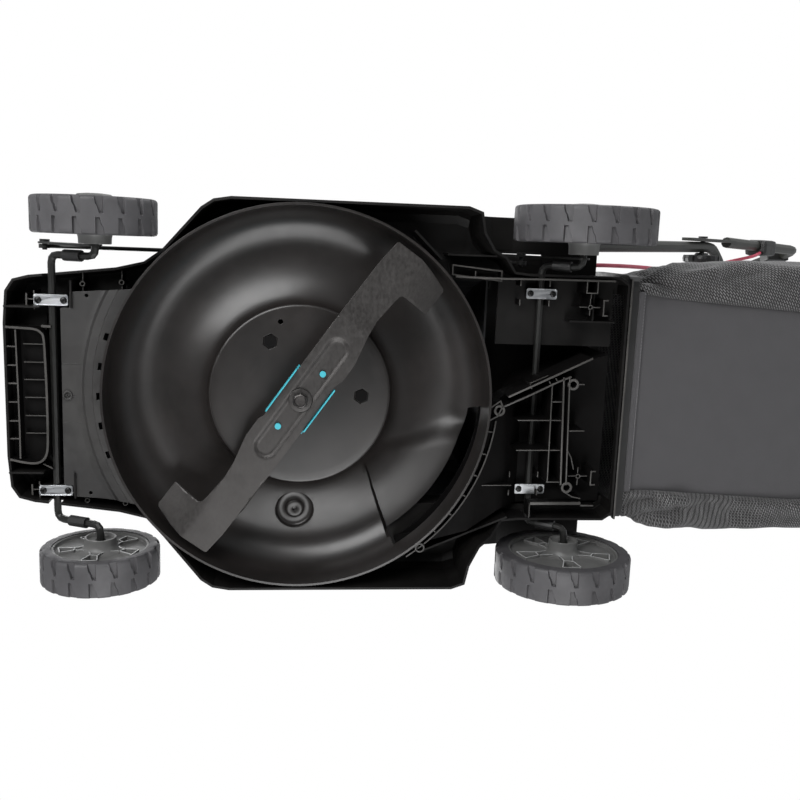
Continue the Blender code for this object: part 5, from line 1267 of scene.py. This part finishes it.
def ring_boss(x, y, outer, inner, low=0.076, high=RIB_FOOT, sides=28):
    """A round hollow boss, open to the ground."""
    soft = 0.0004
    profile = [(inner, high), (inner, low + soft), (inner + soft, low), (outer - soft, low),
               (outer, low + soft), (outer, high)]
    return loft(lathe(profile, sides, upright(x, y + BACK)))


def axis_wall(spots, thickness, low, high, closed=False):
    """A thin upright wall from (radius, degrees) points about the blade's axis."""
    return wall_line([around_axis(*spot) for spot in spots], thickness, low, high, closed)


COMB_OUT = RING_OUT + 0.0140
COMB_FOOT = 0.0800
comb_rows = [axis_wall([(COMB_OUT, degrees) for degrees in np.linspace(96, 146, 26)], 0.0020, 0.0700,
                       COMB_FOOT)]
for degrees in (99.5, 106.5, 113.5, 120.5, 127.5, 134.5, 141.5):
    tooth = [(RING_OUT + 0.0004, degrees), (COMB_OUT, degrees)]
    comb_rows.append(axis_wall(tooth, 0.0017, 0.0712, COMB_FOOT))
comb_rows.append(axis_wall([(RING_OUT + 0.0006, 97), (COMB_OUT + 0.001, 94.5), (COMB_OUT + 0.006, 91.5),
                            (COMB_OUT + 0.003, 90.0), (RING_OUT + 0.0006, 93)], 0.0018, 0.0690, COMB_FOOT,
                           True))
ladder = [
    rib([(0.0055, 0.4960), (0.0330, 0.5530), (0.0565, 0.6010)], 0.0024, 0.074, 0.125),
    rib([(-0.0082, 0.4891), (0.0060, 0.5200), (0.0255, 0.5589), (0.0326, 0.5756)], 0.0022, 0.076, 0.125),
    rib([(0.0219, 0.5523), (-0.1043, 0.5539)], 0.0015, 0.078),
    rib([(0.0315, 0.5660), (-0.1077, 0.5712)], 0.0022, 0.076),
    rib([(0.0309, 0.5735), (-0.1076, 0.5782)], 0.0018, 0.076),
    rib([(-0.0001, 0.5538), (0.0000, 0.5693)], 0.0014, 0.078),
    rib([(-0.0248, 0.5110), (-0.0240, 0.5693)], 0.0014, 0.079),
    rib([(-0.0634, 0.5110), (-0.0628, 0.5703)], 0.0014, 0.079),
    rib([(-0.0376, 0.5772), (-0.0373, 0.5985)], 0.0014, 0.080),
    rib([(-0.1043, 0.5521), (-0.1042, 0.5714)], 0.0014, 0.078),
    rib([(-0.1111, 0.4640), (-0.1107, 0.5089)], 0.0012, 0.084),
    rib([(0.0150, 0.5270), (0.0225, 0.5240), (0.0330, 0.5470)], 0.0014, 0.080, 0.125),
    rib([(0.0255, 0.5590), (0.0300, 0.5560)], 0.0016, 0.078, 0.125),
    rib([(0.0218, 0.5500), (0.0265, 0.5478)], 0.0016, 0.078, 0.125),
    ring_boss(0.0225, 0.5791, 0.0074, 0.0042, 0.077),
    ring_boss(-0.1112, 0.5796, 0.0074, 0.0042, 0.077),
    rib([(0.0225, 0.5865), (0.0225, 0.5945)], 0.0014, 0.080),
    ring_boss(-0.0109, 0.4846, 0.0072, 0.0040, 0.069, 0.082),
    ring_boss(-0.1885, 0.3915, 0.0064, 0.0040, 0.067, 0.082),
]
for x, y, arm_x, arm_y in ((0.1193, 0.5967, 0.0105, 0.0135), (-0.0986, 0.5963, 0.0120, 0.0130)):
    ladder.append(ring_boss(x, y, 0.0032, 0.0018, 0.086, REAR_TOP, 16))
    for line in ([(x - arm_x, y), (x - 0.0030, y)], [(x + 0.0030, y), (x + arm_x, y)],
                 [(x, y - arm_y), (x, y - 0.0030)], [(x, y + 0.0030), (x, y + arm_y)]):
        ladder.append(rib(line, 0.0013, 0.088, REAR_TOP))
ladder += [
    rib([(0.1520, 0.5901), (0.1520, 0.6039), (0.1370, 0.6039), (0.1370, 0.5901)], 0.0015, 0.084, REAR_TOP,
        True),
    rib([(0.1370, 0.5967), (0.1300, 0.5967)], 0.0013, 0.086, REAR_TOP),
    rib([(0.1284, 0.6190), (0.1284, 0.6131), (0.1094, 0.6131), (0.1094, 0.6190)], 0.0017, 0.084, REAR_TOP),
    rib([(-0.0914, 0.6190), (-0.0914, 0.6128), (-0.1090, 0.6128), (-0.1090, 0.6190)], 0.0017, 0.084,
        REAR_TOP),
    rib([(0.1517, 0.4236), (0.1512, 0.4865), (0.1522, 0.5366), (0.1528, 0.6260)], 0.0022, 0.083, 0.100),
    rib([(-0.1345, 0.5348), (-0.1341, 0.6018)], 0.0040, 0.084, 0.100),
    rib([(-0.1376, 0.6020), (-0.1376, 0.6198)], 0.0020, 0.086, 0.100),
    rib([(-0.1345, 0.5348), (-0.1540, 0.5348)], 0.0013, 0.086, 0.110),
    rib([(-0.0640, 0.5800), (-0.0740, 0.5860), (-0.0900, 0.5905)], 0.0014, 0.088, 0.110),
    rib([(-0.1190, 0.5790), (-0.1255, 0.5900), (-0.1275, 0.6010)], 0.0016, 0.084, 0.110),
    rib([(0.1655, 0.4212), (0.1600, 0.4829), (0.1480, 0.4829), (0.1540, 0.4212)], 0.0018, 0.092, 0.110, True),
    rib([(0.1590, 0.4500), (0.1500, 0.4500)], 0.0014, 0.093, 0.110),
]
for x_end, y_mid in ((0.134, 0.5095), (0.134, 0.5470), (-0.1124, 0.5095), (-0.1124, 0.5470)):
    for x_from, x_to in ((-0.016, -0.0085), (0.0085, 0.016)):
        ladder.append(rib([(x_end + x_from, y_mid), (x_end + x_to, y_mid)], 0.0016, 0.100, REAR_TOP))
ladder.append(rib([(-0.1560, 0.6492), (0.1560, 0.6492)], 0.0024, 0.0868, 0.0960))
# The ribs' lower edges keep the lighter painted highlight, and their flanks take the painted-shade black.
ribs = solid("deck_ribs_rear", *merge(comb_rows + ladder), rib_plastic, "deck", smooth=30)
soften(ribs, 0.0004, 40)
dark_flanks(ribs, deep_plastic, (0, 0, -1))
print("rib faces:", len(ribs.data.polygons))

# %% [markdown]
# ### Lips in the left wheel arch
# The arch over the left rear wheel is slotted for the height lever and the link rod. Three long lips
# narrow the slot, and a shorter one closes its inner gap towards the back.

# %% Strips along the arch
ARCH = [(0.4440, 0.1305), (0.4465, 0.1430), (0.4500, 0.1540), (0.4560, 0.1668), (0.4640, 0.1780),
        (0.4750, 0.1870), (0.4880, 0.1945), (0.5030, 0.1992), (0.5200, 0.2015), (0.5400, 0.2015),
        (0.5610, 0.2015)]
LIP_THICK = Vector((0, -0.0006, 0.0024))
# Inner side, outer side and the point of the arch where the strip starts
LIPS = [(0.1626, 0.1665, 0), (0.1725, 0.1771, 0), (0.1809, 0.1859, 0), (0.1660, 0.1730, 5)]
strips = []
for x_in, x_out, first in LIPS:
    rings = []
    for y, z in ARCH[first:]:
        a, b = at(x_in, y, z), at(x_out, y, z)
        rings.append([a, b, b + LIP_THICK, a + LIP_THICK])
    strips.append(loft(rings, (True, True)))
solid("arch_slot_lips", *merge(strips), deck_plastic, "deck", smooth=30)
print("arch strips:", len(strips))

# %% [markdown]
# ## Axle clamps
# Four short straps of zinc-plated strip hold the two axle rods up in their saddles. Each is pinned by
# two dark pan-head screws with a cross in them. The strap is a rounded outline given a thickness, and
# the screws are small domes whose cross is cut in.

# %% Straps and screws
CLAMPS = {"front_left": (0.108, -0.0565, 0.098), "front_right": (-0.124, -0.0565, 0.098),
          "rear_left": (0.133, 0.5393, 0.1155), "rear_right": (-0.122, 0.5393, 0.1155)}
UNDER_ROD = 0.0051
STRAP_X, STRAP_Y, STRAP_CORNER = 0.0066, 0.0198, 0.0026
# Share of the half width left, and depth
STRAP_SHAPE = [(1.0, 0.0), (1.0, -0.0014), (0.975, -0.0018), (0.86, -0.0018), (0.83, -0.0015),
               (0.02, -0.0015)]
SCREW_HEAD = [(0.0040, -0.0014), (0.0040, -0.0024), (0.0036, -0.0032), (0.0026, -0.0037), (0.0012, -0.0039),
              (0.0002, -0.0039)]
SCREW_APART = 0.0145
CROSS_LEAN = 0.4


def box_outline(half_x, half_y):
    """The four corners of a rectangle about nought."""
    return [(-half_x, -half_y), (half_x, -half_y), (half_x, half_y), (-half_x, half_y)]


strap_line = rounded([(x, y, STRAP_CORNER) for x, y in box_outline(STRAP_X, STRAP_Y)], 4)
for label, (clamp_x, rod_y, rod_z) in CLAMPS.items():
    top = rod_z - UNDER_ROD
    rings = []
    for shrink, depth in STRAP_SHAPE:
        shrink_y = 1 - (1 - shrink) * STRAP_X / STRAP_Y
        rings.append([at(clamp_x + x * shrink, rod_y + y * shrink_y, top + depth) for x, y in strap_line])
    solid("clamp_strap_" + label, *loft(rings, (True, True)), zinc_steel, "deck", ["axle_clamp_" + label], 30)
    heads = []
    crosses = []
    for offset in (-SCREW_APART, SCREW_APART):
        def on_strap(u, v, depth, x=clamp_x, y=rod_y + offset, z=top):
            """A point given from the middle of a screw."""
            return at(x + u, y + v, z + depth)

        heads.append(loft(lathe(SCREW_HEAD, 24, on_strap), (True, True)))
        for lean in (CROSS_LEAN, CROSS_LEAN + math.pi / 2):
            bar = [tilted(u, v, lean) for u, v in box_outline(0.0021, 0.00045)]
            crosses.append(loft([[on_strap(u, v, depth) for u, v in bar] for depth in (-0.0046, -0.0027)],
                                (True, True)))
    screws = solid("clamp_screws_" + label, *merge(heads), dark_screw, "deck", smooth=40)
    for cross in crosses:
        carve(screws, [cross], 40)
print("clamps:", len(CLAMPS))

# %% [markdown]
# ## Front cover, carrying grip and screw bosses
# A thin grey panel closes the space between the front axle and the ring. Next to the ring it steps
# down in two ledges, and five slots are cut beside them. In front of it the nose is open and holds
# the carrying grip: a D-shaped lip and a comb of ribs. The panel is drawn in rays from the blade's
# axis, so that its ledges follow the ring. The ribs are again walls that follow a line.

# %% Front cover: rays from the blade's axis
COVER_LINE = [(-0.1387, 0.0535), (-0.1366, 0.0348), (-0.1323, -0.0010), (-0.1303, -0.0345),
              (-0.1160, -0.0347), (-0.1158, -0.0455), (-0.0554, -0.0453), (0.0306, -0.0450),
              (0.0995, -0.0449), (0.0997, -0.0345), (0.1188, -0.0341), (0.1198, -0.0157), (0.1219, 0.0096),
              (0.1250, 0.0430)]
LEDGES = [(0.2300, 0.0792), (0.2461, 0.0795), (0.2470, 0.0818), (0.2562, 0.0826), (0.2600, 0.0866),
          (0.2640, 0.0872), (0.3600, 0.0875)]
RAY_STOPS = [0.2311, 0.2330, 0.2461, 0.2466, 0.2470, 0.2520, 0.2562, 0.2575, 0.2588, 0.2600, 0.2640]


def ray_reach(angle, line):
    """How far a ray from the blade's axis goes before it meets a line of the mower's own points."""
    nearest = 1.0
    way_x, way_y = math.cos(angle), math.sin(angle)
    for (ax, ay), (bx, by) in zip(line, line[1:]):
        ax, ay, bx, by = ax - AXIS_X, ay + BACK - AXIS_Y, bx - AXIS_X, by + BACK - AXIS_Y
        cross = way_x * (by - ay) - way_y * (bx - ax)
        if abs(cross) < 1e-9:
            continue
        reach = (ax * (by - ay) - ay * (bx - ax)) / cross
        along = (ax * way_y - ay * way_x) / cross
        if reach > 0 and -0.0001 <= along <= 1.0001:
            nearest = min(nearest, reach)
    return nearest


RAYS, SPREAD_ROWS = 240, 9
FIRST_RAY, LAST_RAY = 233.1, 302.0
LEAST_REACH = 0.2313
COVER_WALL = 0.0022
cover_points = []
for i in range(RAYS):
    angle = math.radians(FIRST_RAY + (LAST_RAY - FIRST_RAY) * i / (RAYS - 1))
    reach = max(ray_reach(angle, COVER_LINE), LEAST_REACH)
    stops = [min(stop, reach) for stop in RAY_STOPS]
    start = stops[-1]
    stops += [start + (reach - start) * (k + 1) / SPREAD_ROWS for k in range(SPREAD_ROWS)]
    for stop in stops:
        cover_points.append(Vector((AXIS_X + stop * math.cos(angle), AXIS_Y + stop * math.sin(angle),
                                    between(LEDGES, stop))))
cover_faces = grid_faces(RAYS, len(RAY_STOPS) + SPREAD_ROWS)
cover = put("front_cover_moulding", cover_points, cover_faces, cover_plastic, "deck", ["front_cover"], 24)
face_down(cover, 0.00002)
thicken(cover, COVER_WALL, 24)
slots = []
for x, y in ((0.0674, 0.0087), (0.0317, 0.0012), (-0.0043, -0.0013), (-0.0402, 0.0009), (-0.0756, 0.0089)):
    lean = math.atan2(y + BACK - AXIS_Y, x - AXIS_X)
    corners = [tilted(u, v, lean) for u, v in box_outline(0.0026, 0.0044)]
    slots.append(loft([[at(x + u, y + v, height) for u, v in corners] for height in (0.070, 0.095)],
                      (True, True)))
for x, y in ((0.1150, -0.0146), (-0.1254, -0.0144)):
    slots.append(prism(x, y + BACK, 0.070, 0.095, 0.0022, 20))
for cutter in slots:
    carve(cover, [cutter], 24)
marks = [
    ring_boss(-0.0047, -0.0386, 0.0058, 0.0036, 0.0848, 0.0880),
    rib([(-0.0047, -0.0408), (-0.0047, -0.0364)], 0.0010, 0.0856, 0.0880),
    rib([(-0.0067, -0.0386), (-0.0027, -0.0386)], 0.0010, 0.0856, 0.0880),
    rib([(0.0331, -0.0440), (0.0331, -0.0230)], 0.0009, 0.0868, 0.0880),
    rib([(-0.0380, -0.0440), (-0.0380, -0.0225)], 0.0009, 0.0868, 0.0880),
    rib([(-0.0058, -0.0320), (-0.0058, -0.0225)], 0.0008, 0.0868, 0.0880),
    ring_boss(0.1031, 0.0180, 0.0022, 0.0006, 0.0858, 0.0880, 14),
]
solid("front_cover_marks", *merge(marks), cover_plastic, "deck", smooth=40)
print("cover faces:", len(cover.data.polygons))

# %% Carrying grip and the nose's ribs


def smooth_line(knots, count):
    """Evenly read points of a Catmull-Rom curve through the given points."""
    knots = [Vector(point) for point in knots]
    ends = [knots[0] * 2 - knots[1]] + knots + [knots[-1] * 2 - knots[-2]]
    line = []
    spans = len(knots) - 1
    for i in range(count + 1):
        place = i / count * spans
        k = min(int(place), spans - 1)
        line.append(curve_point(*ends[k:k + 4], place - k))
    return line


LIP = [(0.0755, -0.1075), (0.0747, -0.0910), (0.0737, -0.0750), (0.0700, -0.0676), (0.0620, -0.0642),
       (0.0288, -0.0630), (-0.0077, -0.0624), (-0.0578, -0.0626), (-0.0760, -0.0643), (-0.0848, -0.0692),
       (-0.0884, -0.0770), (-0.0879, -0.0890), (-0.0842, -0.1070)]
lip_line = [(p.x, p.y) for p in smooth_line([(x, y, 0) for x, y in LIP], 72)]
GRIP_FOOT, NOSE_FOOT = 0.1062, 0.1200
grip_walls = [rib(lip_line, 0.0026, 0.0848, GRIP_FOOT),
              rib([(0.0724, -0.0967), (0.0365, -0.0962), (-0.0062, -0.0956), (-0.0496, -0.0953),
                   (-0.0835, -0.0955)], 0.0018, 0.0868, GRIP_FOOT)]
for x in (0.0523, 0.0300, 0.0082, -0.0143, -0.0373, -0.0590):
    grip_walls.append(rib([(x, -0.1075), (x, -0.0960)], 0.0016, 0.0872, GRIP_FOOT))
for x in (0.0548, 0.0330, 0.0119, -0.0098, -0.0321, -0.0536):
    grip_walls.append(rib([(x, -0.0905), (x, -0.0640)], 0.0012, 0.0955, GRIP_FOOT))
# The grip's walls carry the lighter painted highlight on their lower edges and the painted-shade black on
# their flanks.
grip = solid("grip_walls", *merge(grip_walls), rib_plastic, "deck", ["front_grip"], 35)
dark_flanks(grip, deep_plastic, (0, 0, -1))
# The sheet behind the grip takes the painted-shade black.
back_flat, back_faces = cut_sheet([(x, y + BACK) for x, y in lip_line], 0.012)
grip_back = put("grip_back", [Vector((x, y, 0.1055)) for x, y in back_flat], back_faces, deep_plastic, "deck")
thicken(grip_back, 0.0016, 35)
nose_ribs = [rib([(0.0770, -0.0680), (0.0766, -0.0570)], 0.0030, 0.0900, 0.1100),
             rib([(-0.0905, -0.0700), (-0.0960, -0.0590)], 0.0016, 0.0900, 0.1100)]
for middle in (0.1082, -0.1238):
    nose_ribs += [rib([(middle - 0.0118, -0.0762), (middle + 0.0103, -0.0762)], 0.0014, 0.0940, NOSE_FOOT),
                  rib([(middle - 0.0069, -0.0850), (middle + 0.0068, -0.0850)], 0.0020, 0.0940, NOSE_FOOT),
                  rib([(middle, -0.0842), (middle, -0.0770)], 0.0014, 0.0950, NOSE_FOOT)]
for x, y, out_x, in_x in ((0.1279, -0.0208, 0.1420, 0.1182), (0.1309, 0.0243, 0.1450, 0.1224),
                          (-0.1375, -0.0204, -0.1425, -0.1270), (-0.1410, 0.0252, -0.1455, -0.1300)):
    edge = 0.0032 if out_x > 0 else -0.0032
    nose_ribs += [ring_boss(x, y, 0.0034, 0.0018, 0.0950, NOSE_FOOT, 18),
                  rib([(x + edge, y), (out_x, y)], 0.0012, 0.0980, NOSE_FOOT),
                  rib([(x - edge, y), (in_x, y)], 0.0012, 0.0980, NOSE_FOOT)]
# These ribs too carry the painted highlight on their lower edges and the painted-shade black on their flanks.
bosses = solid("nose_ribs", *merge(nose_ribs), rib_plastic, "deck", smooth=35)
dark_flanks(bosses, deep_plastic, (0, 0, -1))
print("grip faces:", len(grip.data.polygons))

# %% [markdown]
# ## The red lead
# One thin red lead runs from the switch down the left leg to the fold, and from there to a gland in
# the rear deck. It has to turn at the fold, so it is made in two lengths that meet on the fold's own
# axis inside a short sleeve. Each length is a curve with a round section, and its length is printed.

# %% Lead in two lengths
LEAD_THICK = 0.0060
SLOPE = math.radians(42)
FOLD_Y, FOLD_Z = 0.921, 0.500


def up_leg(distance, x, lift):
    """A point on the handle's line, measured up the slope from the fold."""
    return at(x, FOLD_Y + distance * math.cos(SLOPE) - lift * math.sin(SLOPE),
              FOLD_Z + distance * math.sin(SLOPE) + lift * math.cos(SLOPE))


def lead(name, line, body, stands_for):
    """A round lead along a line."""
    curve = bpy.data.curves.new(name, "CURVE")
    curve.dimensions = "3D"
    curve.bevel_depth = LEAD_THICK / 2
    curve.bevel_resolution = 5
    curve.use_fill_caps = True
    spline = curve.splines.new("POLY")
    spline.points.add(len(line) - 1)
    for spot, point in zip(spline.points, line):
        spot.co = (*point, 1.0)
    spline.use_smooth = True
    curve.materials.append(sheath)
    thing = link(bpy.data.objects.new(name, curve))
    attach(thing, body)
    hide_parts(stands_for)
    return thing


def length_of(line):
    """How long a line is."""
    return sum((b - a).length for a, b in zip(line, line[1:]))


UPPER = [up_leg(0.2385, 0.1960, -0.010), up_leg(0.212, 0.189, -0.006), up_leg(0.160, 0.178, 0.016),
         up_leg(0.105, 0.1695, 0.024), up_leg(0.050, 0.1675, 0.020), up_leg(0.014, 0.1670, 0.009),
         at(0.1655, FOLD_Y, FOLD_Z), at(0.1606, FOLD_Y, FOLD_Z)]
LOWER = [(0.118, 0.600, 0.236), (0.118, 0.600, 0.255), (0.127, 0.600, 0.264), (0.150, 0.604, 0.258),
         (0.166, 0.645, 0.270), (0.168, 0.700, 0.308), (0.164, 0.800, 0.390), (0.154, 0.880, 0.458),
         (0.1500, 0.915, 0.492), (0.1535, FOLD_Y, FOLD_Z), (0.1578, FOLD_Y, FOLD_Z)]
upper_line = smooth_line(UPPER, 90)
lower_line = smooth_line([at(*spot) for spot in LOWER], 120)
lead_upper = lead("lead_upper", upper_line, "upper_handle", "cable_upper")
lead_lower = lead("lead_lower", lower_line, "deck", "cable_lower")

SLEEVE = [(0.0031, 0.1548), (0.0043, 0.1548), (0.0048, 0.1556), (0.0048, 0.1620), (0.0043, 0.1628),
          (0.0031, 0.1628)]
sleeve_rings = lathe(SLEEVE, 28, lambda u, v, x: at(x, FOLD_Y + u, FOLD_Z + v))
sleeve = solid("lead_sleeve", *loft(sleeve_rings), fitting_plastic, "deck", smooth=35)
print("lead lengths, metres:", round(length_of(upper_line), 4), round(length_of(lower_line), 4))
